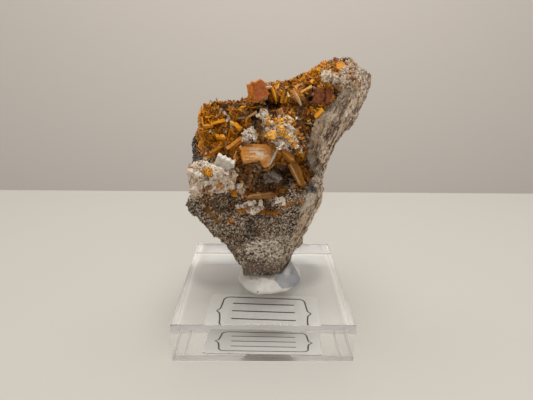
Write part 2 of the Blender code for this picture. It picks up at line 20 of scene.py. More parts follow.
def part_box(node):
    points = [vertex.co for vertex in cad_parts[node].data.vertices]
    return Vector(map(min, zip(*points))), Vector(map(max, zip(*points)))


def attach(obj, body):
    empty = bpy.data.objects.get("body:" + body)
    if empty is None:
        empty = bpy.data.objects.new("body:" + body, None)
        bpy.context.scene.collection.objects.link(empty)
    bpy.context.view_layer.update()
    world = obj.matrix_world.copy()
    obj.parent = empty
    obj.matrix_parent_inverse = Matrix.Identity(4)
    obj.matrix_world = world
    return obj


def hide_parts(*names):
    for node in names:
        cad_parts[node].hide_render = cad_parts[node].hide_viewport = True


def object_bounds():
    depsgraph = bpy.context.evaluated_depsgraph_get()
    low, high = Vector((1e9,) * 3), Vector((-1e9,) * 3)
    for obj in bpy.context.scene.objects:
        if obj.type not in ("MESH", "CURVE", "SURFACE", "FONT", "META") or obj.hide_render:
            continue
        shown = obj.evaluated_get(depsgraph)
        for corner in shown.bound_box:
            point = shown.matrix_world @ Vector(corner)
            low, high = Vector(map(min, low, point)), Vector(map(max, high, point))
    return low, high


bl_info = {
    "name": "Mineral Specimen",
    "version": (1, 0, 0),
    "blender": (4, 5, 0),
    "location": "View3D > Sidebar > Specimen",
    "description": "Dresses a wulfenite specimen on its clear block",
    "category": "Object",
}

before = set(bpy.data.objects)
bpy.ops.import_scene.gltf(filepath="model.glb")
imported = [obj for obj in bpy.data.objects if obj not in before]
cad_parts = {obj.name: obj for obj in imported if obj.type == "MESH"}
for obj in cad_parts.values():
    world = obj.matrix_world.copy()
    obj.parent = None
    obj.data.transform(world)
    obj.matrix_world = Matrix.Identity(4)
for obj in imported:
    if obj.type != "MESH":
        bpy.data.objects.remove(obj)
CAD_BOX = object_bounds()

MM = 0.001

# The camera, solved from the corners of the block: place (mm), turns (radians) and the
# picture that its pixels are counted in
CAMERA_PLACE = Vector((-0.87, -117.61, 81.16))
EYE = CAMERA_PLACE * MM
CAMERA_PITCH = 0.34321
CAMERA_YAW = 0.01426881
CAMERA_ROLL = 0.01148555
PICTURE_WIDTH = 533
PICTURE_HEIGHT = 400
FOCAL_PIXELS = 404.86
SENSOR_WIDTH = 36.0

# How far out on a sight line that misses a surface its nearest spot is looked for (m)
MISS_REACH = 0.118

# Table and wall behind the specimen
TABLE_BACK = 125.0
TABLE_REACH = 900.0
TABLE_DROP = 0.06
WALL_DISTANCE = 420.0

# Shade of the table under the block: over its whole foot, and deeper at the back left
# (both ends and radius, mm, and strength)
FOOT_REACH = 25.4
FOOT_SHADE = 0.42
BACK_SHADE = ((-17.0, 11.0), (12.0, 12.0), 10.0, 0.70)

# Block and label: how polished the block is, the film's foot and thickness, the height of
# the printed lines, what is left of their own thickness, and where the ruled ones run
BLOCK_HEIGHT = 12.0
ACRYLIC_ROUGHNESS = 0.015
FILM_FOOT = 0.04
FILM_THICKNESS = 0.08
INK_HEIGHT = 0.13
INK_FLATNESS = 0.15
RULED_ROWS = (-7.6, -11.4, -15.2)

# Grids of the remeshed pieces, how far apart a crystal's growth steps are, and the angles
# (degrees) above which an edge stays sharp
SLAB_GRID = 0.13
CALCITE_GRID = 0.26
PUTTY_GRID = 0.28
GROWTH_STEP = 0.55
ROCK_CREASE = 28
CRYSTAL_CREASE = 32

# The rock: its noise's start, how far its tip is let down into the putty, between which
# heights (from none to all, and back to none), where the flank's stone begins and is all
# there, the way that its layers run, and how slivers that lie along them differ from grains
ROCK_SEED = Vector((2.1, 7.7, 4.9))
TIP_DROP = 1.0
TIP_HEIGHTS = (13.0, 15.0, 15.5, 22.0)
FLANK_HEIGHTS = (34.0, 42.0)
FLANK_GRAIN = (0.40, 0.0, 0.92)
SLIVER_SHAPE = (0.85, 0.40, 2.7)

# Where the random draws of each kind of piece, and the skew of the grains, start
GRAIN_SEED = 1
DRAWS = {"grains": 7, "crust": 11, "blades": 23, "roots": 31, "tufts": 41, "calcite": 5}

# Marks on the rock: where each starts and ends in the picture, its radius and raggedness
# (mm), its colour and how strongly it covers. The second list lies over the rock's grains.
STONE_MARKS = [
    ((202, 199), (208, 211), 1.1, 0.5, "rust", 0.95), ((208, 211), (218, 220), 1.1, 0.5, "rust", 0.95),
    ((204, 203), (208, 209), 2.6, 1.6, "umber", 0.5), ((228, 221), (234, 220), 0.8, 0.7, "amber", 0.95),
    ((240, 210), (246, 211), 0.8, 0.8, "amber", 0.9), ((261, 213), (266, 212), 1, 0.9, "amber", 0.9),
    ((268, 214), (277, 213), 0.6, 0.8, "amber", 0.85), ((279, 206), (292, 203), 1.1, 1.1, "rust", 0.6),
    ((261, 206), (273, 205), 1.6, 0.8, "umber", 0.95), ((240, 221), (286, 226), 3.4, 2.2, "umber", 0.42),
    ((226, 222), (240, 244), 2.6, 2.2, "umber", 0.35), ((250, 271), (272, 272), 2.2, 1.6, "clay", 0.75),
    # The near-black mark down the hollow at (251, 232) is painted shade.
    ((252, 276), (272, 277), 1, 1, "umber", 0.5), ((251, 226), (251, 242), 1.6, 1.2, "pit", 0.6),
    ((212, 212), (226, 212), 2.6, 1.8, "umber", 0.35), ((196, 205), (203, 214), 1.6, 1.2, "slate", 0.6),
    ((197, 142), (198, 150), 1.5, 0.8, "slate", 0.95), ((200, 105), (204, 109), 0.9, 0.6, "olive", 0.8),
    ((308, 181), (312, 191), 1.4, 0.8, "slate", 0.8), ((252, 247), (280, 258), 3, 2, "cream", 0.5),
    ((262, 243), (290, 240), 2.4, 1.6, "cream", 0.3), ((304, 208), (311, 196), 1.5, 0.9, "cream", 0.8),
    ((320, 62), (304, 73), 1.6, 0.8, "olive", 0.8), ((350, 82), (343, 92), 2.6, 1.2, "sand", 0.4),
    ((343, 92), (336, 102), 2.4, 1.2, "sand", 0.35), ((330, 102), (324, 114), 1.9, 0.9, "cream", 0.6),
    ((321, 114), (318, 126), 1.7, 0.9, "sand", 0.5), ((317, 126), (315, 140), 1.6, 0.9, "sand", 0.45),
    ((315, 140), (313, 156), 1.4, 0.9, "sand", 0.45), ((313, 156), (313, 170), 1.2, 0.8, "cream", 0.7),
    ((318, 172), (308, 206), 1.2, 1, "cream", 0.5), ((352, 70), (346, 88), 2.2, 1.4, "cream", 0.6),
    ((341, 88), (332, 104), 0.8, 0.9, "cream", 0.7), ((354, 62), (363, 78), 2.6, 1.2, "cream", 0.5),
    ((238, 200), (260, 203), 1.8, 1.4, "umber", 0.6), ((264, 206), (300, 203), 1.6, 1.5, "rust", 0.5),
    ((226, 198), (236, 207), 1.8, 1.4, "umber", 0.5), ((300, 192), (308, 182), 1.2, 1.1, "rust", 0.5),
    ((206, 204), (228, 213), 3, 2.6, "rust", 0.5), ((222, 196), (246, 204), 1.8, 2.2, "rust", 0.45),
]
TOP_MARKS = [
    ((248, 268), (275, 266), 2, 1.4, "clay", 0.55), ((249, 275), (272, 275), 2, 0.9, "clay", 0.88),
    ((202, 199), (208, 211), 0.9, 1.4, "rust", 0.7), ((208, 211), (219, 221), 0.8, 1.4, "rust", 0.7),
    ((197, 139), (198, 155), 1.6, 1, "slate", 0.75), ((308, 180), (313, 190), 1.2, 1, "slate", 0.55),
    ((222, 200), (232, 206), 0.8, 1.2, "rust", 0.6), ((238, 210), (246, 211), 0.8, 0.9, "amber", 0.8),
    ((259, 212), (266, 211), 0.9, 0.9, "amber", 0.8), ((268, 214), (280, 212), 0.6, 0.9, "amber", 0.75),
    ((284, 206), (300, 199), 0.8, 1.6, "rust", 0.5),
]
# The pit colour is painted shade for the hollow that it lies in.
MARK_COLOURS = {
    "rust": (0.27, 0.115, 0.018), "amber": (0.58, 0.2, 0.01), "umber": (0.11, 0.042, 0.014),
    "pit": (0.03, 0.024, 0.018), "slate": (0.045, 0.042, 0.038), "cream": (0.66, 0.56, 0.44),
    "bark": (0.19, 0.06, 0.008), "clay": (0.26, 0.185, 0.135), "sand": (0.66, 0.49, 0.33),
    "olive": (0.13, 0.12, 0.05),
}

# Where the rock's grains are lighter or darker than average: middle and half sizes in the
# picture, and how much
# Two of the darker zones are painted shade: (205, 222) darkens the lower left side, which lies in shade, and
# (250, 233) darkens the hollow there.
STONE_ZONES = [
    ((264, 251), (20, 11), 0.5), ((243, 262), (8, 10), 0.3), ((205, 222), (16, 18), -0.18),
    ((250, 233), (7, 11), -0.42), ((283, 232), (12, 14), 0.1), ((224, 240), (12, 14), -0.06),
    ((262, 273), (14, 5), -0.1), ((292, 222), (8, 22), 0.14), ((265, 206), (30, 7), -0.1),
    ((197, 147), (5, 9), -0.4), ((350, 60), (16, 8), 0.42), ((342, 78), (12, 10), 0.34),
]

# The crust's edge in the picture
CRUST_EDGE = [
    (197, 106), (203, 99), (217, 95), (237, 93), (252, 88), (262, 82), (280, 79), (297, 77), (306, 70),
    (316, 61), (330, 58), (345, 60), (350, 68), (343, 84), (336, 98), (324, 110), (314, 121), (310, 135),
    (307, 150), (306, 165), (314, 172), (311, 181), (300, 190), (284, 196), (262, 199), (246, 200),
    (236, 190), (233, 172), (214, 160), (203, 165), (196, 160), (197, 140), (197, 120),
]

# The bare flank beside the crust, and the left group of calcite, in the picture
FLANK_EDGE = [
    (352, 54), (347, 66), (352, 72), (344, 85), (337, 98), (325, 110), (315, 121), (311, 135), (308, 150),
    (307, 165), (315, 172), (312, 181), (304, 192), (301, 205), (297, 225), (290, 244), (302, 250),
    (318, 215), (335, 180), (350, 130), (378, 90), (378, 54),
]
CALCITE_EDGE = [
    (189, 171), (193, 167), (199, 164), (204, 163.5), (209, 166), (215, 167.5), (222, 169), (229, 172.5),
    (234.5, 174), (236, 179), (233, 183), (235, 187), (229, 188.5), (224, 191.5), (216, 190), (209, 192.5),
    (202, 192.5), (196, 197), (191, 202), (187.8, 200), (186.6, 192), (188.2, 185), (187, 177),
]

# Hollows pressed into the rock: their place in the picture, radius and depth (mm)
HOLLOWS = [
    ((272, 105), 1.7, 2.2), ((257, 114), 1.1, 1.8), ((256, 123), 0.9, 1.4), ((266, 206), 1.8, 1.4),
    ((251, 232), 1.8, 2.2), ((289, 103), 1.3, 1.3), ((302, 124), 1.2, 1.3), ((303, 137), 1.2, 1.2),
    ((309, 99), 1.2, 1.2), ((247, 158), 1.4, 1.4), ((236, 165), 1.4, 1.6), ((221, 128), 0.8, 0.9),
    ((286, 176), 1.6, 1.4), ((258, 184), 1.6, 1.2), ((215, 126), 0.9, 0.8), ((239, 124), 0.9, 0.9),
    ((214, 203), 1.4, 0.9), ((229, 206), 1.3, 0.8), ((339, 79), 0.8, 0.9), ((334, 92), 0.9, 0.8),
]

# How the crust changes over the face: middle and half sizes in the picture, then what it
# adds to the plates' tone (0 dark brown to 1 honey) and to their pale coating
# Among them light and shade are painted: the lighter zones along the top edge at (230, 97) and (284, 79) stand
# in for the light that falls there, and the darker ones at (272, 105) and (257, 116) paint shade into the
# hollows.
CRUST_ZONES = [
    ((230, 97), (36, 5), 0.28, 0.02), ((284, 79), (24, 4), 0.16, 0.04), ((268, 178), (30, 17), -0.32, 0.24),
    ((222, 142), (16, 7), 0.16, -0.1), ((213, 135), (5, 4), 0.2, -0.1), ((272, 105), (9, 7), -0.5, -0.2),
    ((257, 116), (5, 13), -0.42, 0.1), ((275, 95), (6, 9), 0.36, 0.05), ((299, 93), (8, 8), 0.22, 0.25),
    ((308, 98), (12, 12), -0.16, 0), ((316, 72), (26, 8), 0.26, -0.05), ((338, 76), (12, 9), 0.1, 0.55),
    ((276, 132), (18, 15), 0, 0.45), ((249, 136), (7, 10), 0, 0.3), ((212, 112), (16, 16), 0.1, -0.05),
    ((200, 125), (5, 15), 0.24, 0.05), ((232, 105), (16, 9), -0.12, 0.02), ((229, 150), (6, 10), -0.12, 0),
    ((206, 150), (10, 9), 0.05, 0.1), ((300, 120), (12, 14), -0.1, 0.12), ((306, 174), (8, 6), 0.2, 0.15),
    ((318, 112), (6, 6), 0.3, 0.1),
]

# Blades that can be told apart: both ends in the picture, width and thickness (mm), how far
# they stand off the rock, tone and pale coating
BLADES = [
    ((203, 127), (213, 125), 1.1, 0.5, 1.3, 0.58, 0.05), ((211, 125), (225, 120), 1.2, 0.5, 1.5, 0.62, 0),
    ((230, 123), (236, 124), 1.4, 0.6, 2, 0.96, 0.1), ((234, 124), (241, 130), 1.5, 0.6, 2, 0.72, 0),
    ((216, 137), (221, 136), 1.5, 0.8, 1.6, 0.72, 0), ((220, 136), (226, 138), 1.4, 0.8, 1.6, 0.76, 0),
    ((227, 149), (242, 138), 1.2, 0.5, 1.9, 0.56, 0.1), ((230, 150), (244, 140), 0.9, 0.5, 1.5, 0.48, 0),
    ((213, 153), (223, 145), 1.7, 0.6, 1.6, 0.52, 0), ((225, 141), (227, 156), 1.1, 0.5, 1.4, 0.3, 0.05),
    ((229, 146), (231, 158), 1.2, 0.5, 1.2, 0.36, 0), ((246, 119), (257, 112), 0.8, 0.4, 1.4, 0.7, 0.75),
    ((255, 110), (257, 118), 0.7, 0.4, 1.4, 0.7, 0.8), ((301, 93), (312, 86), 0.9, 0.4, 1.8, 0.74, 0.35),
    ((294, 92), (302, 105), 0.9, 0.4, 1.8, 0.78, 0.6), ((246, 176), (253, 176), 0.9, 0.4, 1.2, 0.66, 0.3),
    ((268, 168), (274, 163), 0.8, 0.6, 6.8, 0.82, 0), ((281, 103), (284, 90), 0.8, 0.4, 1.4, 0.56, 0.05),
    ((272, 88), (277, 101), 0.8, 0.4, 1.4, 0.8, 0), ((316, 118), (323, 109), 1.3, 0.5, 1.4, 0.76, 0.05),
    ((276, 159), (285, 165), 1.4, 0.6, 3.4, 0.36, 0), ((198, 128), (203, 142), 1, 0.5, 1, 0.6, 0.1),
    ((228, 188), (236, 194), 1.6, 0.6, 1.2, 0.52, 0), ((276, 151), (281, 157), 1.8, 0.6, 3.8, 0.42, 0),
]

# Small tufts of grains: middle and half sizes in the picture, how many, their length (mm),
# how far they stand off (mm), tone, and for the orange ones their pale coating
ORANGE_TUFTS = [
    ((268, 118), (2, 3), 4, 1.2, 1.5, 0.92, 0), ((285, 119), (6, 3), 8, 1.2, 1.6, 0.92, 0),
    ((280, 132), (8, 6), 9, 1.2, 1.7, 0.88, 0), ((290, 138), (4, 5), 5, 1.1, 1.6, 0.86, 0.05),
    ((222, 97), (18, 2), 46, 0.7, 0.4, 0.6, 0), ((250, 91), (10, 2), 22, 0.7, 0.4, 0.62, 0),
    ((350, 60), (8, 4), 26, 0.6, 0.6, 0.5, 0.25), ((352, 74), (4, 5), 12, 0.6, 0.5, 0.45, 0.25),
    ((269, 135), (2.8, 2.8), 26, 0.8, 1.3, 0.9, 0), ((275, 134), (1.8, 1.6), 8, 0.7, 0.9, 0.8, 0),
    ((252, 175), (7, 6), 16, 0.9, 0.8, 0.4, 0.45), ((262, 181), (15, 8), 36, 0.9, 0.9, 0.46, 0.4),
    ((246, 184), (5, 4), 10, 0.8, 0.7, 0.55, 0.2), ((278, 121), (3.4, 2.2), 22, 0.8, 1.3, 0.86, 0),
    ((292, 121), (2.8, 2.8), 18, 0.8, 1.2, 0.88, 0), ((282, 128), (6, 5), 14, 0.8, 1.3, 0.76, 0.1),
    ((268, 124), (2.2, 1.8), 10, 0.8, 0.9, 0.66, 0), ((284, 134), (1.6, 2), 7, 0.6, 0.9, 0.8, 0.1),
    ((293, 146), (2, 3), 9, 0.7, 0.9, 0.66, 0), ((275, 94), (3, 7), 34, 0.8, 0.9, 0.8, 0),
    ((300, 94), (2.6, 4.6), 18, 0.8, 0.9, 0.8, 0.1), ((296, 97), (2.4, 6), 16, 0.8, 0.8, 0.6, 0.6),
    ((310, 122), (1.8, 1.8), 8, 0.7, 0.9, 0.8, 0.1), ((319, 113), (3.2, 4.4), 20, 0.8, 0.9, 0.72, 0.1),
    ((207, 172), (3.8, 2.4), 26, 0.9, 0.8, 0.7, 0), ((211, 175), (1.8, 2), 10, 0.8, 0.8, 0.66, 0),
    ((206, 189), (3.4, 2.6), 12, 0.6, 0.5, 0.34, 0.1), ((220, 184), (1.8, 3.8), 14, 0.7, 0.6, 0.64, 0.1),
    ((234, 195), (2.2, 1.5), 12, 0.7, 0.7, 0.8, 0), ((187, 187), (1.2, 2.4), 9, 0.7, 0.4, 0.62, 0.1),
    ((210, 194), (2.8, 1.2), 7, 0.6, 0.4, 0.66, 0.1), ((247, 170), (1.6, 2.2), 8, 0.7, 1, 0.66, 0),
    ((264, 212), (3.2, 2.2), 16, 0.7, 0.4, 0.62, 0), ((243, 210), (3.2, 1.8), 13, 0.7, 0.4, 0.62, 0),
    ((272, 214), (4.4, 1.4), 13, 0.6, 0.3, 0.62, 0), ((231, 221), (3.4, 1.6), 14, 0.7, 0.3, 0.64, 0),
    ((286, 204), (7, 3.6), 18, 0.6, 0.3, 0.54, 0.1), ((306, 174), (7, 5.5), 44, 0.6, 0.6, 0.66, 0.2),
    ((241, 149), (1.2, 1.8), 5, 0.6, 1.6, 0.8, 0.1), ((341, 65), (3.4, 3), 22, 0.9, 0.8, 0.66, 0),
    ((320, 66), (7.5, 3.6), 60, 0.9, 0.7, 0.7, 0), ((308, 73), (5, 2.8), 36, 0.8, 0.7, 0.66, 0),
    ((325, 84), (5.5, 1.2), 16, 0.6, 0.9, 0.8, 0.1), ((334, 71), (7, 4), 26, 0.6, 0.9, 0.62, 0.1),
    ((345, 76), (6, 4), 20, 0.6, 0.8, 0.4, 0.1), ((329, 60), (8, 2), 40, 0.7, 0.5, 0.5, 0.2),
    ((332, 98), (2.4, 2.4), 12, 0.8, 0.9, 0.6, 0.1), ((287, 79), (8, 2.4), 40, 0.8, 0.6, 0.64, 0),
]
WHITE_TUFTS = [
    ((265, 113), (2.2, 7), 44, 0.8, 1, 0.3), ((263, 104), (2.6, 3.4), 22, 0.7, 0.9, 0.45),
    ((265, 131), (3.4, 5), 30, 0.8, 0.9, 0.5), ((256, 176), (11, 7), 22, 0.9, 0.8, 0.64),
    ((286, 180), (8, 8), 16, 0.8, 0.7, 0.66), ((252, 133), (2, 6), 30, 0.7, 1.6, 0.05),
    ((249, 139), (2.2, 4.5), 22, 0.7, 1.4, 0.1), ((279, 115), (1.6, 1.8), 10, 0.7, 1.2, 0.1),
    ((287, 117), (3.4, 1.8), 16, 0.7, 1.2, 0.15), ((287, 124), (4.6, 3.4), 34, 0.7, 1.2, 0.22),
    ((298, 118), (2, 1.4), 8, 0.7, 1, 0.15), ((283, 146), (4.8, 3.2), 30, 0.8, 1.6, 0.15),
    ((290, 152), (5, 1.8), 14, 0.7, 2.2, 0.22), ((299, 150), (4.4, 4.4), 40, 0.7, 1.5, 0.1),
    ((306, 141), (4, 7), 26, 0.7, 0.7, 0.35), ((288, 95), (1.4, 2.2), 8, 0.8, 1.4, 0),
    ((284, 87), (4, 3), 18, 0.7, 0.9, 0.35), ((269, 87), (2.6, 3.8), 14, 1.1, 0.9, 0.3),
    ((265, 98), (1.8, 2), 10, 0.8, 1, 0.5), ((224, 111), (1.2, 1.4), 4, 0.8, 1.4, 0),
    ((228, 118), (2.4, 3.4), 16, 0.7, 1.2, 0.05), ((236, 108), (2.6, 2.8), 10, 0.6, 1, 0.3),
    ((211, 131), (1.8, 1.8), 6, 0.6, 1.2, 0.3), ((225, 130), (2.2, 2), 8, 0.6, 1.4, 0.25),
    ((205, 151), (3, 3.4), 12, 0.6, 0.8, 0.5), ((241, 147), (1.6, 1.8), 7, 0.6, 1.6, 0.1),
    ((241, 189), (4.4, 4.2), 34, 0.9, 0.9, 0.25), ((292, 191), (4.6, 4.6), 34, 0.7, 0.8, 0.25),
    ((294, 183), (2.8, 3.4), 14, 1.1, 0.8, 0.18), ((280, 201), (4.6, 3.4), 34, 0.8, 0.9, 0.15),
    ((240, 207), (4.6, 1.8), 22, 0.9, 0.8, 0.06), ((252, 203), (3.6, 2.4), 20, 0.9, 1, 0.1),
    ((255, 211), (4, 2.4), 18, 0.8, 0.7, 0.08), ((250, 208), (6, 3), 12, 0.6, 1, 0.8),
    ((266, 182), (1.8, 2), 8, 0.9, 1.2, 0.3), ((323, 92), (1.4, 9), 30, 0.8, 1, 0.3),
    ((326, 76), (4.4, 5.4), 60, 1, 1.1, 0.3), ((340, 79), (9, 3.4), 60, 1, 1, 0.38),
    ((344, 72), (5, 4), 40, 1, 0.8, 0.42), ((352, 64), (5, 4), 36, 0.9, 0.6, 0.5),
    ((264, 250), (17, 9), 150, 0.75, 0.25, 0.04), ((266, 262), (14, 6), 40, 0.5, 0.15, 0.2),
    ((276, 234), (10, 12), 40, 0.45, 0.15, 0.35), ((228, 236), (12, 12), 30, 0.45, 0.15, 0.45),
    ((214, 210), (14, 9), 40, 0.45, 0.15, 0.45), ((314, 129), (2, 3), 10, 0.7, 0.5, 0.6),
    ((224, 171), (10, 3), 60, 0.9, 0.5, 0.15), ((236, 168), (2, 4), 16, 0.8, 0.5, 0.2),
    ((192, 194), (4.5, 5.5), 60, 0.9, 0.5, 0.25), ((188, 176), (1.8, 6), 20, 0.8, 0.3, 0.3),
    ((203, 165), (8, 2.2), 40, 0.9, 0.4, 0.2), ((259, 127), (3, 4.5), 20, 0.7, 0.8, 0.55),
    ((273, 128), (7, 9), 60, 0.8, 0.8, 0.35),
]

# Single crystals: name, CAD node, finish (its first word is the record's slot), which way
# the front looks (None: as the CAD does), depth (mm) and the front's outline in the picture
CRYSTALS = [
    ("red_tablet", "wulfenite_red_twin", "red_wulfenite", None, 1.1, [
        (247.6, 88.5), (247, 85.4), (250.4, 84.4), (252.7, 81.6), (255.1, 82.8), (260.7, 79.4),
        (264.4, 81.6), (266.4, 87.6), (269.4, 94), (267.6, 96.2), (263.2, 99.2), (259.9, 101.1),
        (254.3, 102.9), (249.4, 101.1), (249.9, 97), (248.6, 92)]),
    ("tan_plate", "wulfenite_tan_plate", "tan_wulfenite", None, 1.4, [
        (241.4, 148.9), (245.4, 144.9), (251, 144), (258.2, 144), (267.1, 144.6), (270.4, 147.4),
        (274.6, 149.2), (279.2, 148.6), (280.2, 153), (275.8, 157), (272.7, 161.6), (269.6, 166.4),
        (264.9, 167.8), (262.4, 165.6), (259.9, 160.7), (256, 161.6), (247.1, 163.4), (243.3, 163.2),
        (241.9, 158.6), (240.9, 153.6)]),
    ("upper_blade", "wulfenite_upper_blade", "tan_wulfenite blade", (0.35, -1, 0.5), 1.6, [
        (280.8, 149.4), (282.8, 147.9), (285.4, 149), (289.8, 152.2), (293.8, 156.4), (294.9, 160.4),
        (291, 160.6), (286.2, 156), (282.4, 152.6)]),
    ("lower_blade", "wulfenite_lower_blade", "tan_wulfenite blade", (-0.5, -1, 0.1), 1.7, [
        (289.4, 160.2), (292, 160), (295.2, 163.4), (298.4, 168.4), (300.6, 175.6), (303.4, 184.6),
        (301.6, 186.4), (298.4, 184.6), (294.6, 178.6), (290.2, 171), (288.4, 166)]),
    ("ledge_blade", "wulfenite_ledge_blade", "tan_wulfenite blade", (-0.1, -1, 0.35), 1.7, [
        (245.6, 199.9), (247.8, 195.6), (252.4, 193.9), (259, 192.8), (265, 192.8), (270.8, 191.8),
        (275.4, 193.8), (275.2, 197.8), (269.6, 199.6), (262, 199), (254, 199.6)]),
    ("brown_plate", "wulfenite_brown_plate", "red_wulfenite dark", (-0.3, -1, 0.3), 1, [
        (316.1, 86.6), (319.4, 87.4), (323.2, 89), (326.4, 92.4), (325.4, 96), (324, 99.6), (321, 104),
        (317.2, 103.8), (313.8, 103.4), (312.2, 100.6), (313.2, 96.4), (314.6, 92.4)]),
    ("brown_blade", "wulfenite_brown_blade", "red_wulfenite dark", (0.3, -1, 0.4), 0.9, [
        (325.4, 90.6), (328.8, 87.8), (332.4, 89.6), (333.6, 93.2), (331, 98.6), (328.4, 103.4),
        (325.4, 103), (326.4, 97)]),
    ("orange_tip", "wulfenite_orange_tip", "orange_wulfenite", (-0.2, -1, 0.7), 1, [
        (336, 63.4), (338.6, 61.6), (342.4, 61.2), (345.4, 63.8), (344.4, 68.6), (340.4, 70.4),
        (336.4, 68.8)]),
    ("white_tablet", "calcite_white_tablet", "white_calcite", None, 1.5, [
        (213.8, 165.4), (215.6, 160.4), (217.6, 155.4), (219.6, 156.2), (222.4, 158.8), (224.4, 157.8),
        (226.6, 160.6), (229.4, 160.4), (231, 162.8), (234.4, 163.4), (234, 168.4), (230.6, 167.8),
        (227.8, 169.6), (225.6, 171), (221, 168.8), (217, 168.4)]),
    ("red_companion", None, "red_wulfenite", (-0.6, -1, 0.2), 0.9, [
        (246.4, 85.6), (248.6, 84.2), (251.4, 86.4), (251.8, 92), (250.6, 98.4), (248.2, 96.6), (247.4, 91)]),
    ("pink_plate", None, "tan_wulfenite pink", (-0.2, -1, 0.3), 0.9, [
        (285.2, 131.4), (289.6, 129.4), (296.4, 129.2), (297, 134.6), (295.8, 143), (291.6, 142.4),
        (287.4, 139.8), (284.8, 136.2)]),
    ("pocket_crystal", None, "tan_wulfenite smoky", (-0.2, -1, 0.5), 2.5, [
        (263, 174), (266.4, 169.4), (268.6, 171.4), (271.8, 168.6), (275.4, 171), (275, 173.6),
        (279.8, 174.6), (282.8, 179), (279.6, 180.6), (278.2, 183.6), (273.4, 181.4), (269, 182.8),
        (267, 178.8), (263.4, 178.4)]),
    ("pale_twig", None, "white_calcite twig", (0.3, -1, 0.2), 0.5, [
        (276.4, 149.6), (278, 149.4), (276.4, 153.6), (274.6, 158), (272.6, 161), (270.8, 164.6),
        (269, 166), (270.4, 161.8), (272.4, 157.8), (274.4, 153.2)]),
]

# Cream streaks and stains on the single crystals, as for STONE_MARKS
CRYSTAL_MARKS = {
    "tan_plate": [
        ((248, 149), (264, 149), 0.22, 0.5, "cream", 0.55),
        # The wider cream spot in the middle is partly the plate's cream colour and partly a painted highlight.
        ((257, 153), (262, 154), 0.5, 0.7, "cream", 0.75),
        ((250, 152), (266, 152), 0.22, 0.5, "cream", 0.55),
        ((246, 156), (262, 157), 0.22, 0.5, "cream", 0.45),
        ((262, 158), (271, 154), 0.3, 0.6, "cream", 0.45),
        ((246, 145), (268, 145.4), 0.5, 0.3, "bark", 0.85),
        ((274, 150), (276, 160), 1.9, 0.6, "bark", 0.75), ((269, 148), (269, 152), 0.5, 0.4, "amber", 0.8),
        ((244, 163), (258, 161), 0.55, 0.3, "rust", 0.8), ((262, 163), (268, 167), 0.8, 0.5, "rust", 0.6),
        ((243, 148), (242, 160), 0.35, 0.3, "amber", 0.9)],
    "lower_blade": [
        ((293, 162), (303, 184), 0.55, 0.3, "bark", 0.55),
        ((291, 166), (299, 182), 0.18, 0.2, "cream", 0.45),
        ((290, 168), (297, 181), 0.16, 0.2, "bark", 0.6), ((289, 164), (294, 178), 0.25, 0.2, "amber", 0.9),
        ((291, 160.5), (295, 163), 0.4, 0.3, "olive", 0.6)],
    "upper_blade": [
        ((282, 149), (293, 157), 0.35, 0.3, "bark", 0.6), ((282, 151), (290, 158), 0.2, 0.2, "amber", 0.8)],
    "ledge_blade": [
        ((248, 196), (270, 194), 0.25, 0.5, "cream", 0.35),
        ((252, 197), (274, 194), 0.16, 0.2, "bark", 0.7),
        ((248, 199.4), (270, 199.4), 0.45, 0.3, "bark", 0.7),
        ((263, 195), (273, 193), 0.8, 0.5, "umber", 0.45), ((246, 198), (252, 195), 0.4, 0.3, "amber", 0.7)],
    "pocket_crystal": [
        ((266, 172), (278, 178), 0.3, 0.5, "cream", 0.35), ((268, 176), (276, 181), 0.4, 0.6, "umber", 0.6),
        ((274, 171), (280, 176), 0.4, 0.6, "umber", 0.5)],
    "white_tablet": [
        ((216, 167), (226, 170), 0.6, 0.8, "clay", 0.5), ((222, 160), (228, 166), 0.3, 0.8, "cream", 0.5),
        ((231, 165), (233, 168), 0.5, 0.5, "clay", 0.4)],
    "brown_plate": [
        ((315, 102), (321, 103), 0.3, 0.3, "umber", 0.8), ((316, 88), (323, 91), 0.25, 0.3, "rust", 0.8)],
    "red_tablet": [
        ((249, 100), (260, 101), 0.5, 0.5, "amber", 0.6), ((249, 90), (250, 98), 0.4, 0.4, "amber", 0.5)],
}

# Calcite groups: name, CAD node, grains, their length (mm) and how stained they are
CALCITES = [
    ("calcite_left", "calcite_left_cluster", 1500, 1, 0.22),
    ("calcite_seam", "calcite_middle_seam", 700, 0.8, 0.4),
    ("calcite_top", "calcite_upper_patch", 520, 0.8, 0.48),
    ("calcite_bridge", "calcite_left_bridge", 120, 0.8, 0.2),
    ("calcite_beads", "calcite_ledge_beads", 170, 0.8, 0.08),
]

# The frame line of the label, seen from above (mm)
LABEL_LINE = [
    (-10.7, -3.68), (11.6, -4.93), (12.7, -5.3), (13.3, -6.3), (13.5, -9), (13.7, -11.2), (14.7, -12.45),
    (13.6, -13.6), (13.3, -15.5), (13.15, -17.8), (12.5, -18.75), (11.4, -19), (-11.4, -18.25),
    (-12.4, -17.9), (-13, -16.9), (-13.1, -14.2), (-13.4, -12.1), (-14.4, -10.9), (-13.3, -9.8),
    (-12.95, -7.6), (-12.6, -5), (-11.8, -4),
]

# The facet on the right of the putty, in the picture, whose shade is painted bluish grey
PUTTY_SHADED_FACET = [
    (273.8, 279.6), (282.5, 289.2), (297, 285.6), (301, 279), (292, 262), (287, 254), (284, 266),
    (280, 272),
]


# Sight lines and pixels


def camera_axes():
    """The camera's right, up and viewing directions."""
    sight = Vector((
        math.sin(CAMERA_YAW) * math.cos(CAMERA_PITCH),
        math.cos(CAMERA_YAW) * math.cos(CAMERA_PITCH),
        -math.sin(CAMERA_PITCH),
    ))
    level = Vector((math.cos(CAMERA_YAW), -math.sin(CAMERA_YAW), 0.0))
    upright = level.cross(sight)
    right = level * math.cos(CAMERA_ROLL) + upright * math.sin(CAMERA_ROLL)
    up = upright * math.cos(CAMERA_ROLL) - level * math.sin(CAMERA_ROLL)
    return right, up, sight


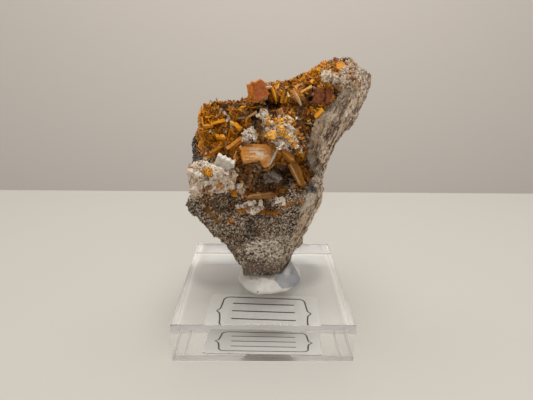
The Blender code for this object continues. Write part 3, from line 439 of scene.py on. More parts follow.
def sight_line(pixel):
    """The direction in which a pixel of the picture looks."""
    right, up, sight = camera_axes()
    across = (pixel[0] - PICTURE_WIDTH / 2) / FOCAL_PIXELS
    down = (pixel[1] - PICTURE_HEIGHT / 2) / FOCAL_PIXELS
    return (sight + right * across - up * down).normalized()


def pixels_of(points):
    """Where points (an array, in metres) show in the picture."""
    right, up, sight = (np.array(axis) for axis in camera_axes())
    away = points - np.array(CAMERA_PLACE) * MM
    depth = away @ sight
    across = PICTURE_WIDTH / 2 + FOCAL_PIXELS * (away @ right) / depth
    down = PICTURE_HEIGHT / 2 - FOCAL_PIXELS * (away @ up) / depth
    return np.stack([across, down], axis=1)


def spot_on(surface, pixel):
    """Where the sight line of a pixel first meets a surface, in metres."""
    met = surface.ray_cast(EYE, sight_line(pixel))[0]
    if met is None:
        met = surface.find_nearest(EYE + sight_line(pixel) * MISS_REACH)[0]
    return met


def inside_outline(pixels, outline):
    """1 for each pixel inside a closed outline in the picture, else 0."""
    inside = np.zeros(len(pixels), bool)
    for (x0, y0), (x1, y1) in zip(outline, outline[1:] + outline[:1]):
        crosses = (pixels[:, 1] < y0) != (pixels[:, 1] < y1)
        at = x0 + (pixels[:, 1] - y0) * (x1 - x0) / ((y1 - y0) or 1e-9)
        inside ^= crosses & (pixels[:, 0] < at)
    return inside.astype(float)


def zone_values(pixels, zones, number):
    """Sum at each pixel of what the zones add, read from this place in their entries."""
    total = np.zeros(len(pixels))
    for zone in zones:
        reach = ((pixels - np.array(zone[0])) / np.array(zone[1])) ** 2
        total += zone[number] * np.exp(-reach.sum(axis=1) ** 1.5)
    return total


def nearest_on_loop(points, corners):
    """The nearest place to each point on the closed line through the corners."""
    best, least = np.zeros_like(points), np.full(len(points), np.inf)
    for start, end in zip(corners, np.roll(corners, -1, axis=0)):
        along = end - start
        share = np.clip(((points - start) @ along) / (along @ along), 0.0, 1.0)
        spots = start + share[:, None] * along
        away = np.linalg.norm(points - spots, axis=1)
        closer = away < least
        best[closer], least[closer] = spots[closer], away[closer]
    return best


def pressed_into(points, outline):
    """Points that show outside an outline in the picture, moved sideways onto its edge."""
    right, up, sight = (np.array(axis) for axis in camera_axes())
    pixels = pixels_of(points)
    shift = nearest_on_loop(pixels, np.array(outline, float)) - pixels
    shift *= (1.0 - inside_outline(pixels, outline))[:, None]
    reach = ((points - np.array(CAMERA_PLACE) * MM) @ sight / FOCAL_PIXELS)[:, None]
    return points + reach * (shift[:, :1] * right - shift[:, 1:] * up)


def smooth_step(low, high, value):
    """0 below low, 1 above high and a smooth rise between; value may be an array."""
    share = np.clip((value - low) / (high - low), 0.0, 1.0)
    return share * share * (3.0 - 2.0 * share)


def clouds(points, size, octaves=0, shift=(0.0, 0.0, 0.0)):
    """Soft random values at the points, in clouds about this many millimetres across."""
    places = [Vector(point) / (size * MM) + Vector(shift) for point in points]
    if octaves:
        return np.array([noise.fractal(place, 1.0, 2.0, octaves) for place in places])
    return np.array([noise.noise(place) for place in places])


# Objects and meshes


def add_object(name, data):
    made = bpy.data.objects.new(name, data)
    bpy.context.scene.collection.objects.link(made)
    return made


def select_only(made):
    bpy.ops.object.select_all(action="DESELECT")
    made.select_set(True)
    bpy.context.view_layer.objects.active = made


def start_from(primitive, **values):
    """A primitive, added with nothing else selected."""
    bpy.ops.object.select_all(action="DESELECT")
    primitive(**values)
    return bpy.context.object


@contextmanager
def editing(made):
    """Edit mode on this object, with all of it selected."""
    select_only(made)
    bpy.ops.object.mode_set(mode="EDIT")
    bpy.ops.mesh.select_all(action="SELECT")
    yield
    bpy.ops.object.mode_set(mode="OBJECT")


def apply_modifier(made, kind, **values):
    """Adds a modifier with these values and applies it."""
    select_only(made)
    modifier = made.modifiers.new(kind.lower(), kind)
    for name, value in values.items():
        setattr(modifier, name, value)
    bpy.ops.object.modifier_apply(modifier=modifier.name)


def remesh(made, grid):
    """Rebuilds an object as one skin of this grid size, in millimetres."""
    apply_modifier(made, "REMESH", mode="VOXEL", voxel_size=grid * MM)


def smooth_faces(made, degrees):
    select_only(made)
    bpy.ops.object.shade_smooth_by_angle(angle=math.radians(degrees))


def node_copy(node, name):
    """A new object with a CAD node's mesh, its doubled points merged."""
    made = add_object(name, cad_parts[node].data.copy())
    made.data.materials.clear()
    with editing(made):
        bpy.ops.mesh.remove_doubles(threshold=1e-6)
    return made


def mesh_object(name, points, faces, attributes=()):
    """A new object from a list of points, a list of faces and values per point."""
    mesh = bpy.data.meshes.new(name)
    mesh.from_pydata(points, [], faces)
    for key, values in dict(attributes).items():
        set_values(mesh, key, values)
    return add_object(name, mesh)


def set_values(mesh, key, values):
    """Stores one number per point under this name."""
    held = mesh.attributes.get(key) or mesh.attributes.new(key, "FLOAT", "POINT")
    held.data.foreach_set("value", np.asarray(values, np.float32))


def points_of(mesh):
    points = np.empty(len(mesh.vertices) * 3, np.float32)
    mesh.vertices.foreach_get("co", points)
    return points.reshape(-1, 3).astype(float)


def normals_of(mesh):
    normals = np.empty(len(mesh.vertices) * 3, np.float32)
    mesh.vertex_normals.foreach_get("vector", normals)
    return normals.reshape(-1, 3).astype(float)


def move_points(mesh, points):
    mesh.vertices.foreach_set("co", points.astype(np.float32).ravel())
    mesh.update()


def surface_of(*objects):
    """A tree of the faces of these objects, for sight lines and distances."""
    bm = bmesh.new()
    for made in objects:
        bm.from_mesh(made.data)
    tree = BVHTree.FromBMesh(bm)
    bm.free()
    return tree


def finish_piece(made, material, slot, *nodes):
    """Gives a piece its finish and hides the CAD nodes that it stands for; slot is not used."""
    move_points(made.data, np.clip(points_of(made.data), *map(np.array, CAD_BOX)))
    made.data.materials.clear()
    made.data.materials.append(material)
    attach(made, "root")
    if nodes:
        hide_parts(*nodes)
    return made


# Small shapes and how they are strewn


def draws(piece):
    """The random draws of one kind of piece, the same in each run."""
    return np.random.default_rng(DRAWS[piece])


def face_samples(mesh, count, draw, weights):
    """Random places on a mesh, thick where the faces' weights are high, with normals."""
    mesh.calc_loop_triangles()
    corners = np.empty(len(mesh.loop_triangles) * 3, np.int32)
    mesh.loop_triangles.foreach_get("vertices", corners)
    places = points_of(mesh)[corners.reshape(-1, 3)]
    crossed = np.cross(places[:, 1] - places[:, 0], places[:, 2] - places[:, 0])
    areas = np.linalg.norm(crossed, axis=1)
    normals = crossed / np.maximum(areas, 1e-18)[:, None]
    share = areas * weights(places.mean(axis=1), normals)
    picked = draw.choice(len(share), size=count, p=share / share.sum())
    mix = draw.dirichlet((1.0, 1.0, 1.0), size=count)
    return (places[picked] * mix[:, :, None]).sum(axis=1), normals[picked]


def unit(vectors):
    return vectors / np.maximum(np.linalg.norm(vectors, axis=1, keepdims=True), 1e-12)


def standing_frames(normals, draw, lean, tumble):
    """Turns for plates on a surface: columns are width, height off the surface, thickness.

    lean tips the height away from the surface's normal, and tumble turns the whole plate.
    """
    up = unit(normals + draw.normal(0.0, lean, normals.shape))
    side = unit(np.cross(up, draw.normal(0.0, 1.0, normals.shape)))
    up = unit(up + tumble * draw.normal(0.0, 1.0, normals.shape))
    side = unit(side - up * (side * up).sum(axis=1, keepdims=True))
    return np.stack([side, up, np.cross(side, up)], axis=2)


def lying_frames(normals, along, draw):
    """Turns for slivers that lie on a surface: their thickness axis runs this way."""
    along = unit(np.array(along) + draw.normal(0.0, 0.14, normals.shape))
    length = unit(along - normals * (along * normals).sum(axis=1, keepdims=True))
    side = unit(np.cross(normals, length))
    return np.stack([side, np.cross(length, side), length], axis=2)


def scattered(name, seeds, kinds, places, frames, sizes, **attributes):
    """One mesh of many small shapes: seed number, place, turn and size of each."""
    points, faces, values, held = [], [], {key: [] for key in attributes}, 0
    for kind, (seed_points, seed_faces) in enumerate(seeds):
        chosen = np.flatnonzero(kinds == kind)
        if not len(chosen):
            continue
        scaled = seed_points[None, :, :] * sizes[chosen][:, None, :]
        turned = np.einsum("nij,nkj->nki", frames[chosen], scaled)
        points.append((turned + places[chosen][:, None, :]).reshape(-1, 3))
        for number in range(len(chosen)):
            start = held + number * len(seed_points)
            faces.extend([tuple(corner + start for corner in face) for face in seed_faces])
        held += len(chosen) * len(seed_points)
        for key, given in attributes.items():
            values[key].append(np.repeat(given[chosen], len(seed_points)))
    joined = {key: np.concatenate(parts) for key, parts in values.items()}
    return mesh_object(name, np.concatenate(points).tolist(), faces, joined)


def seed_of(made):
    """The points and faces of a modelled seed, which is then deleted."""
    points = points_of(made.data)
    faces = [tuple(face.vertices) for face in made.data.polygons]
    bpy.data.objects.remove(made)
    return points, faces


def tablet_seed(rim):
    """A square plate of unit size in XY and in Z, its rim wedged out in the middle."""
    made = start_from(
        bpy.ops.mesh.primitive_cylinder_add, vertices=4, radius=0.5 * math.sqrt(2), depth=1.0,
        rotation=(0.0, 0.0, math.pi / 4))
    bpy.ops.object.transform_apply(location=False, rotation=True, scale=True)
    with editing(made):
        bpy.ops.mesh.bisect(plane_co=(0.0, 0.0, 0.0), plane_no=(0.0, 0.0, 1.0))
    for vert in made.data.vertices:
        if abs(vert.co.z) < 0.1:
            vert.co.x *= rim
            vert.co.y *= rim
    return seed_of(made)


def broken_seed(slant):
    """A plate like the others with its outer end broken off along a slant."""
    made = start_from(bpy.ops.mesh.primitive_cube_add, size=1.0)
    with editing(made):
        for spot, out in (((0.1, 0.32, 0.0), (slant, 1.0, 0.25)), ((0.3, 0.2, 0.0), (1.0, 0.6, -0.3))):
            bpy.ops.mesh.select_all(action="SELECT")
            bpy.ops.mesh.bisect(plane_co=spot, plane_no=out, use_fill=True, clear_outer=True)
    return seed_of(made)


def grain_seed(number):
    """An angular grain of unit size, a differently skewed one for each number."""
    made = start_from(bpy.ops.mesh.primitive_cube_add, size=0.8)
    noise.seed_set(GRAIN_SEED)
    for vert in made.data.vertices:
        vert.co += noise.noise_vector(vert.co * 3.1 + Vector((number, 0.0, 0.0))) * 0.35
    return seed_of(made)


# Finishes


class Wiring:
    """Short calls for building one node tree; shader is the main shader of a material."""

    def __init__(self, tree, shader=None):
        self.tree = tree
        self.shader = shader

    def feed(self, socket, value):
        """Links an output to an input, or sets the input to a plain value."""
        if isinstance(value, bpy.types.NodeSocket):
            self.tree.links.new(value, socket)
        elif value is not None:
            socket.default_value = value

    def node(self, kind, inputs=(), **values):
        """A new node with these values, and with its inputs fed by name or number."""
        made = self.tree.nodes.new(kind)
        for name, value in values.items():
            setattr(made, name, value)
        for key, value in dict(inputs).items():
            self.feed(made.inputs[key], value)
        return made

    def cover(self, colour, normal=None):
        """Gives the shader its colour and normal."""
        self.feed(self.shader.inputs["Base Color"], colour)
        self.feed(self.shader.inputs["Normal"], normal)

    def here(self):
        return self.node("ShaderNodeTexCoord").outputs["Object"]

    def here_split(self):
        return self.node("ShaderNodeSeparateXYZ", {0: self.here()}).outputs

    def value(self, key):
        return self.node("ShaderNodeAttribute", attribute_name=key).outputs["Fac"]

    def math(self, operation, *values, clamp=False):
        return self.node("ShaderNodeMath", enumerate(values), operation=operation, use_clamp=clamp).outputs[0]

    def times(self, first, second):
        return self.math("MULTIPLY", first, second)

    def minus(self, first, second):
        return self.math("SUBTRACT", first, second)

    def times_plus(self, first, second, third, clamp=False):
        return self.math("MULTIPLY_ADD", first, second, third, clamp=clamp)

    def vector(self, operation, first, second=None, scale=None):
        made = self.node("ShaderNodeVectorMath", {0: first, 1: second, 3: scale}, operation=operation)
        return made.outputs[1 if operation in ("DOT_PRODUCT", "LENGTH") else 0]

    def step(self, value, low, high, low_out=0.0, high_out=1.0):
        """A smooth change, from low_out where the value is low to high_out where it is high."""
        inputs = {"Value": value, "From Min": low, "From Max": high, "To Min": low_out, "To Max": high_out}
        return self.node("ShaderNodeMapRange", inputs, interpolation_type="SMOOTHSTEP").outputs["Result"]

    def mix(self, share, first, second, blend="MIX"):
        inputs = {"Factor": share, "A": colour4(first), "B": colour4(second)}
        return self.node("ShaderNodeMix", inputs, data_type="RGBA", blend_type=blend).outputs["Result"]

    def ramp(self, value, ends, stops):
        """Colours for values from 0 to 1: those of both ends, and those at places between."""
        made = self.node("ShaderNodeValToRGB", {"Fac": value})
        held = made.color_ramp.elements
        held[0].color, held[1].color = map(colour4, ends)
        for place, stop in stops:
            held.new(place).color = colour4(stop)
        return made.outputs["Color"]

    def noise(self, size, detail=3.0, roughness=0.55, at=None):
        """Cloudy noise whose features are about this many millimetres across."""
        return self.node("ShaderNodeTexNoise", {
            "Vector": at or self.here(), "Scale": 1.0 / (size * MM), "Detail": detail,
            "Roughness": roughness}).outputs["Fac"]

    def stretched(self, turn, scale):
        """Object coordinates turned about Y and scaled, for streaks."""
        inputs = {"Vector": self.here(), "Rotation": (0.0, turn, 0.0), "Scale": scale}
        return self.node("ShaderNodeMapping", inputs, vector_type="TEXTURE").outputs["Vector"]

    def group(self, tree, **values):
        inputs = {name.replace("_", " "): value for name, value in values.items()}
        return self.node("ShaderNodeGroup", inputs, node_tree=tree).outputs

    def bump(self, height, strength, depth, normal=None):
        """A normal from a height; depth is in millimetres."""
        inputs = {"Height": height, "Strength": strength, "Distance": depth * MM, "Normal": normal}
        return self.node("ShaderNodeBump", inputs).outputs["Normal"]


def colour4(value):
    """A plain colour as four numbers; an output as it is."""
    return value if isinstance(value, bpy.types.NodeSocket) else (*tuple(value)[:3], 1.0)


def new_material(name, roughness, **sockets):
    """A material with its shader's plain values set, and the wiring of its nodes."""
    material = bpy.data.materials.new(name)
    material.use_nodes = True
    shader = material.node_tree.nodes["Principled BSDF"]
    for key, value in dict(sockets, Roughness=roughness).items():
        shader.inputs[key.replace("_", " ")].default_value = value
    return material, Wiring(material.node_tree, shader)


def new_group(name, inputs, outputs):
    """An empty node group with named sockets, its wiring and its two end nodes' sockets."""
    tree = bpy.data.node_groups.new(name, "ShaderNodeTree")
    for label, kind, start in inputs:
        socket = tree.interface.new_socket(label, in_out="INPUT", socket_type=kind)
        socket.default_value = start
    for label in outputs:
        tree.interface.new_socket(label, in_out="OUTPUT", socket_type="NodeSocketFloat")
    given, out = (tree.nodes.new(kind) for kind in ("NodeGroupInput", "NodeGroupOutput"))
    return tree, Wiring(tree), given.outputs, out.inputs


def mark_group():
    """Mask of a ragged spot or streak between two points."""
    if "Ragged mark" in bpy.data.node_groups:
        return bpy.data.node_groups["Ragged mark"]
    tree, net, given, out = new_group(
        "Ragged mark",
        [("Start", "NodeSocketVector", (0, 0, 0)), ("End", "NodeSocketVector", (0, 0, 0)),
         ("Radius", "NodeSocketFloat", 0.001), ("Raggedness", "NodeSocketFloat", 0.001)],
        ["Mask"])
    away = net.vector("SUBTRACT", net.here(), given["Start"])
    along = net.vector("SUBTRACT", given["End"], given["Start"])
    reach = net.math("MAXIMUM", net.vector("DOT_PRODUCT", along, along), 1e-12)
    share = net.math("DIVIDE", net.vector("DOT_PRODUCT", away, along), reach, clamp=True)
    nearest = net.vector("SCALE", along, scale=share)
    distance = net.vector("LENGTH", net.vector("SUBTRACT", away, nearest))
    cloud = net.minus(net.noise(1.1, 3.0, 0.65), 0.5)
    ragged = net.times_plus(cloud, net.times(given["Raggedness"], 2.4), distance)
    inner, outer = net.times(given["Radius"], 0.6), net.times(given["Radius"], 1.25)
    net.feed(out["Mask"], net.step(ragged, inner, outer, 1.0, 0.0))
    return tree


def grain_group():
    """Salt-and-pepper grains: masks of the light and the dark ones, and their height."""
    if "Mineral grains" in bpy.data.node_groups:
        return bpy.data.node_groups["Mineral grains"]
    tree, net, given, out = new_group(
        "Mineral grains",
        [("Scale", "NodeSocketFloat", 1800.0), ("Light Share", "NodeSocketFloat", 0.3),
         ("Dark Share", "NodeSocketFloat", 0.3)],
        ["Light", "Dark", "Height"])
    here = net.here()
    swirl = net.node("ShaderNodeTexNoise", {"Vector": here, "Scale": net.times(given["Scale"], 0.9)})
    push = net.vector("SCALE", swirl.outputs["Color"], scale=net.math("DIVIDE", 0.9, given["Scale"]))
    cells = net.node("ShaderNodeTexVoronoi", {"Vector": net.vector("ADD", here, push), "Scale": given["Scale"]})
    chance = net.node("ShaderNodeSeparateColor", {0: cells.outputs["Color"]}).outputs["Red"]
    bar = net.minus(1.0, given["Light Share"])
    net.feed(out["Light"], net.step(chance, bar, net.math("ADD", bar, 0.12)))
    low = net.minus(given["Dark Share"], 0.10)
    net.feed(out["Dark"], net.step(chance, low, given["Dark Share"], 1.0, 0.0))
    net.feed(out["Height"], net.minus(1.0, cells.outputs["Distance"]))
    return tree


def with_mark(net, colour, ends, radius, raggedness, paint, strength):
    """The colour with a ragged mark laid over it from one spot to another."""
    mask = net.group(
        mark_group(), Start=ends[0], End=ends[1], Radius=radius * MM, Raggedness=raggedness * MM)["Mask"]
    return net.mix(net.times(mask, strength), colour, paint)


def marked(net, colour, marks, surface):
    """The colour with each mark laid over it where its pixels meet the surface."""
    for start, end, radius, raggedness, paint, strength in marks:
        ends = spot_on(surface, start), spot_on(surface, end)
        paint = MARK_COLOURS[paint] if isinstance(paint, str) else paint
        colour = with_mark(net, colour, ends, radius, raggedness, paint, strength)
    return colour


def rusted(net, colour, settings):
    """The colour with brown stains over parts of it."""
    return net.mix(net.step(net.noise(3.0, 3.0, 0.65), 0.44, 0.64, 0.0, 0.6), colour, settings.rust)


def speckled(net, colour, settings, share):
    """The colour with small dark gaps and cream flecks; share says how much of both."""
    zone = net.value("zone")
    cloud = net.times_plus(zone, 0.03, net.noise(settings.fleck_size, 3.0, 0.7))
    dark = net.step(zone, 0.02, 0.30, 0.72, 0.98)
    gaps = net.times(net.step(cloud, 0.43, 0.475, dark, 0.0), share)
    flecks = net.times(net.step(cloud, 0.545, 0.595, 0.0, 0.90), share)
    paint = net.mix(net.step(zone, 0.02, 0.30, 0.10, 1.0), settings.body_warm, settings.salt)
    return net.mix(flecks, net.mix(gaps, colour, settings.pepper), paint)


def grained(net, colour, settings, grains, rough, dark, light):
    """The colour with one size of grains over it; dark and light say how strongly."""
    for key, strength, tone in (("Dark", dark, settings.pepper), ("Light", light, settings.salt)):
        colour = net.mix(net.times(grains[key], net.times(rough, strength)), colour, tone)
    return colour


def stone_material(settings, surface):
    """Taupe rock, salt-and-pepper where it is granular, streaked on its flank."""
    material, net = new_material("Matrix stone", 0.88, Specular_IOR_Level=0.3)
    body = net.mix(net.step(net.noise(9.0, 4.0, 0.6), 0.35, 0.65), settings.body, settings.body_warm)
    along = net.stretched(math.radians(25), (1.0, 1.0, 7.0))
    streak, thin = net.noise(1.9, 3.0, 0.6, along), net.noise(0.75, 3.0, 0.6, along)
    side = net.mix(net.step(streak, 0.45, 0.55), settings.flank_dark, settings.flank_light)
    side = net.mix(net.step(thin, 0.56, 0.60, 0.0, 0.85), side, settings.groove)
    side = net.mix(net.step(thin, 0.40, 0.44, 0.7, 0.0), side, settings.salt)
    flank = net.value("flank")
    colour = net.mix(flank, rusted(net, body, settings), side)
    patch = net.step(net.noise(5.0, 3.0, 0.6), 0.3, 0.7, 0.20, 0.46)
    scale = 1000 / settings.grain_size
    fine = net.group(grain_group(), Scale=scale, Light_Share=patch, Dark_Share=0.36)
    small = net.group(grain_group(), Scale=2 * scale, Light_Share=0.26, Dark_Share=0.30)
    rough = net.minus(1.0, net.times(flank, 0.72))
    colour = grained(net, colour, settings, small, rough, 0.6, 0.45)
    colour = marked(net, colour, STONE_MARKS, surface)
    colour = net.mix(net.times(net.step(thin, 0.56, 0.60, 0.0, 0.7), flank), colour, settings.groove)
    colour = speckled(net, colour, settings, net.minus(1.0, flank))
    colour = grained(net, colour, settings, fine, rough, 0.85, 0.7)
    # Painted shade: where the crust covers the rock, the ground between its plates is painted near-black brown
    # for the shade that lies between them.
    ground = net.step(net.noise(1.6, 4.0, 0.7), 0.4, 0.62)
    under = net.mix(ground, settings.ground_shade_dark, settings.ground_shade_light)
    colour = net.mix(net.value("druse"), marked(net, colour, TOP_MARKS, surface), under)
    grit = net.times_plus(small["Height"], 0.6, fine["Height"])
    grooves = net.bump(net.minus(streak, thin), 0.6, 0.4)
    net.cover(colour, net.bump(grit, 0.9, 0.22, grooves))
    return material


def plate_material(settings):
    """Crystal plates: colour from each plate's own tone, pale coating and a fine grain."""
    material, net = new_material("Orange wulfenite", 0.38, IOR=1.5, Specular_IOR_Level=0.22)
    grain = net.minus(net.noise(0.7, 3.0, 0.7), 0.5)
    tone = net.times_plus(grain, 0.55, net.value("tone"), clamp=True)
    plain = net.ramp(tone, (settings.shadow, settings.honey), (
        (0.25, settings.brown), (0.5, settings.body), (0.75, settings.bright)))
    gold = net.step(net.noise(2.4, 2.0, 0.5), 0.48, 0.62, 0.0, 0.8)
    colour = net.mix(gold, plain, settings.mustard, "MULTIPLY")
    dust = net.step(net.noise(0.5, 3.0, 0.7), 0.35, 0.65, 0.6, 1.0)
    pale = net.math("MULTIPLY", net.value("pale"), dust, clamp=True)
    pink = net.step(net.noise(0.9, 2.0, 0.6), 0.4, 0.6)
    coating = net.mix(pink, settings.coating, settings.coating_pink)
    net.cover(net.mix(pale, colour, coating), net.bump(net.noise(0.3, 3.0, 0.6), 0.35, 0.06))
    return material


# The rock


def stone_relief(point, flank):
    """How far the rock's skin stands out (mm) at a point of its solid."""
    chips = noise.voronoi(point / 2.3 + ROCK_SEED)
    level = noise.noise(chips[1][0] * 5.1)
    joint = math.exp(-(chips[0][1] - chips[0][0]) / 0.12)
    grit = noise.voronoi(point / 0.75 + ROCK_SEED)[0]
    rough = 1.0 - 0.75 * flank
    relief = rough * (0.55 * level - 0.25 * joint + 0.40 * (0.5 - grit[0]))
    relief += rough * 0.36 * noise.fractal(point / 1.3 + ROCK_SEED, 0.8, 2.1, 4)
    if flank > 0.01:
        across = Vector((point.x - 0.44 * point.z, point.y, 0.06 * point.z))
        ridge = noise.ridged_multi_fractal(across / 2.3 + ROCK_SEED, 0.9, 2.0, 4, 1.0, 2.0)
        relief += flank * (0.80 * (ridge - 1.2) + 0.22 * noise.fractal(point / 1.1, 0.9, 2.0, 3))
    return relief


def turned_aside(normals):
    """1 where a surface looks to the viewer's right, which is the bare flank's way, else 0."""
    return smooth_step(0.25, 0.6, normals[:, 0])


def make_rock(settings):
    rock = node_copy("matrix_rock", "rock")
    remesh(rock, settings.skin_size)
    points, normals = points_of(rock.data), normals_of(rock.data)
    solid = surface_of(rock)
    crust = surface_of(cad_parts["wulfenite_crust"])
    covered = np.array([crust.find_nearest(Vector(point))[3] for point in points]) / MM
    ragged = np.array([noise.noise(Vector(point) * 700.0) for point in points])
    inside = inside_outline(pixels_of(points) + 2.0 * ragged[:, None], CRUST_EDGE)
    druse = (1.0 - smooth_step(1.2, 2.4, covered + 0.8 * ragged)) * inside
    bare = inside_outline(pixels_of(points) + 1.5 * ragged[:, None], FLANK_EDGE)
    flank = np.maximum(bare, turned_aside(normals) * smooth_step(*FLANK_HEIGHTS, points[:, 2] / MM))
    moved = [stone_relief(Vector(point) / MM, side) * MM for point, side in zip(points, flank)]
    points = points + normals * np.array(moved)[:, None]
    for pixel, radius, depth in HOLLOWS:
        away = np.linalg.norm(points - np.array(spot_on(solid, pixel)), axis=1) / (radius * MM)
        points += np.array(sight_line(pixel)) * (depth * MM * np.exp(-away ** 2))[:, None]
    foot, sunk_from, sunk_to, top = (height * MM for height in TIP_HEIGHTS)
    sunk = TIP_DROP * MM * (1.0 - smooth_step(sunk_to, top, points[:, 2]))
    points[:, 2] -= sunk * smooth_step(foot, sunk_from, points[:, 2])
    move_points(rock.data, points)
    set_values(rock.data, "druse", druse)
    set_values(rock.data, "flank", flank * (1.0 - druse))
    set_values(rock.data, "zone", zone_values(pixels_of(points), STONE_ZONES, 2))
    smooth_faces(rock, ROCK_CREASE)
    finish_piece(rock, stone_material(settings, solid), "matrix_stone", "matrix_rock")
    make_rock_grains(settings, rock)


def make_rock_grains(settings, rock):
    """Small mineral grains that stand out of the bare rock, slivers on its flank."""
    draw = draws("grains")

    def flank_of(pixels, normals):
        return np.maximum(inside_outline(pixels, FLANK_EDGE), turned_aside(normals))

    def weights(centres, normals):
        pixels = pixels_of(centres)
        crusted = inside_outline(pixels, CRUST_EDGE) * (normals[:, 1] < 0.2)
        front = np.where(normals[:, 1] < 0.1, 2.5, 1.0)
        return (1.0 - crusted) * (1.0 - 0.5 * flank_of(pixels, normals)) * front

    count = settings.grain_count
    places, normals = face_samples(rock.data, count, draw, weights)
    size = 0.17 + 0.36 * draw.random(count) ** 2.5
    sizes = size[:, None] * draw.uniform(0.6, 1.3, (count, 3)) * MM
    pixels = pixels_of(places)
    flank = flank_of(pixels, normals)
    cloud = clouds(places, 1.6, 3)
    tone = draw.random(count)
    # The zones also darken the grains where shade is painted, on the lower left side and in the hollow at (250,
    # 233).
    zone = zone_values(pixels, STONE_ZONES, 2)
    tone *= 0.84 + 0.16 * smooth_step(0.0, 0.3, zone)
    tone += 0.7 * zone * (tone > 0.34) + 0.36 * cloud + 0.3 * clouds(places, 7.0)
    sliver = flank > 0.5
    frames = standing_frames(normals, draw, 0.6, 0.6)
    frames[sliver] = lying_frames(normals[sliver], FLANK_GRAIN, draw)
    sizes[sliver] *= SLIVER_SHAPE
    tone[sliver] = np.where(draw.random(sliver.sum()) < 0.3, 0.52, 0.80) + 0.22 * cloud[sliver]
    made = scattered(
        "rock_grains", [grain_seed(1), grain_seed(2), grain_seed(3)], draw.choice(3, size=count),
        places, frames, sizes, tone=np.clip(tone, 0.0, 1.0), flank=flank, zone=zone)
    material, net = new_material("Stone grains", 0.85, Specular_IOR_Level=0.25)
    colour = net.ramp(net.value("tone"), (settings.pepper, settings.salt), (
        (0.3, settings.pepper), (0.42, settings.body), (0.62, settings.body_warm),
        (0.78, settings.flank_light)))
    colour = marked(net, rusted(net, colour, settings), STONE_MARKS, surface_of(rock))
    colour = speckled(net, colour, settings, net.minus(1.0, net.value("flank")))
    net.cover(marked(net, colour, TOP_MARKS, surface_of(rock)), net.bump(net.noise(0.2), 0.4, 0.05))
    finish_piece(made, material, "matrix_stone")


# The crust of small plates


def make_crust(settings):
    rock = bpy.data.objects["rock"]
    draw = draws("crust")
    tree = surface_of(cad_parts["wulfenite_crust"])
    surface = surface_of(rock)
    hollows = [(np.array(spot_on(surface, pixel)), radius) for pixel, radius, _ in HOLLOWS]

    def weights(centres, normals):
        near = np.array([tree.find_nearest(Vector(centre), 3.0 * MM)[3] or 1.0 for centre in centres])
        inside = inside_outline(pixels_of(centres), CRUST_EDGE)
        for spot, radius in hollows:
            away = np.linalg.norm(centres - spot, axis=1) / (radius * MM)
            inside *= 1.0 - 0.8 * np.exp(-away ** 2)
        return (near < 2.6 * MM) * inside * np.clip(0.4 - normals[:, 1], 0.05, 1.0)

    seeds = [tablet_seed(1.15), tablet_seed(1.35), broken_seed(0.7), broken_seed(-0.4)]
    material = plate_material(settings)
    for name, count, least, most in (
        ("crust_fine", settings.fine_plates, settings.plate_least, settings.plate_middle),
        ("crust_coarse", settings.coarse_plates, settings.plate_middle, settings.plate_most),
    ):
        places, normals = face_samples(rock.data, count, draw, weights)
        frames = standing_frames(normals, draw, 0.35, 0.5)
        size = least + (most - least) * draw.random(count) ** 1.8
        sizes = np.stack([
            size * draw.uniform(low, high, count) for low, high in ((0.8, 1.3), (0.6, 1.1), (0.14, 0.30))
        ], axis=1) * MM
        pixels = pixels_of(places)
        # This zone tone holds painted light along the crust's top edge and painted shade in its hollows.
        dark = zone_values(pixels, CRUST_ZONES, 2)
        horn = (pixels[:, 0] > 300) & (pixels[:, 1] < 80)
        rim = np.linalg.norm(nearest_on_loop(pixels, np.array(CRUST_EDGE, float)) - pixels, axis=1)
        sizes *= (np.clip(1.0 + 0.6 * np.minimum(dark, 0.0), 0.6, 1.0) * np.where(horn, 0.65, 1.0)
                  * np.where(rim < 4.0, 0.50, 1.0))[:, None]
        places = places + frames[:, :, 1] * sizes[:, 1:2] * draw.uniform(0.1, 0.5, (count, 1))
        tone = 0.42 + dark + 0.24 * clouds(places, 2.6) + draw.normal(0.0, 0.17, count)
        pale = zone_values(pixels, CRUST_ZONES, 3) + draw.normal(0.0, 0.08, count)
        pale = pale + 0.7 * (draw.random(count) > 0.965)
        kinds = draw.choice(len(seeds), size=count, p=(0.3, 0.2, 0.25, 0.25))
        made = scattered(
            name, seeds, kinds, places, frames, sizes, tone=np.clip(tone, 0.0, 1.0),
            pale=np.clip(pale, 0.0, 1.0))
        finish_piece(made, material, "orange_wulfenite", "wulfenite_crust")
    make_blades(material)


def tuft(surface, draw, middle, reach, count, size, stand):
    """Places, turns and sizes of a small tuft of grains on what a spot of the picture shows."""
    places, normals = [], []
    for across, down in draw.uniform(-1.0, 1.0, (count, 2)):
        pixel = (middle[0] + across * reach[0], middle[1] + down * reach[1])
        hit, normal = surface.ray_cast(EYE, sight_line(pixel))[:2]
        if hit is None:
            hit, normal = surface.find_nearest(spot_on(surface, pixel))[:2]
        places.append(hit - sight_line(pixel) * stand * draw.uniform(0.0, 1.0) * MM)
        normals.append(normal * 0.6 - sight_line(pixel) * 0.6)
    frames = standing_frames(np.array(normals), draw, 0.6, 0.5)
    sizes = size * draw.uniform(0.6, 1.4, (len(places), 1)) * np.array([0.55, 1.1, 0.3]) * MM
    return np.array(places), frames, sizes * draw.uniform(0.8, 1.2, sizes.shape)


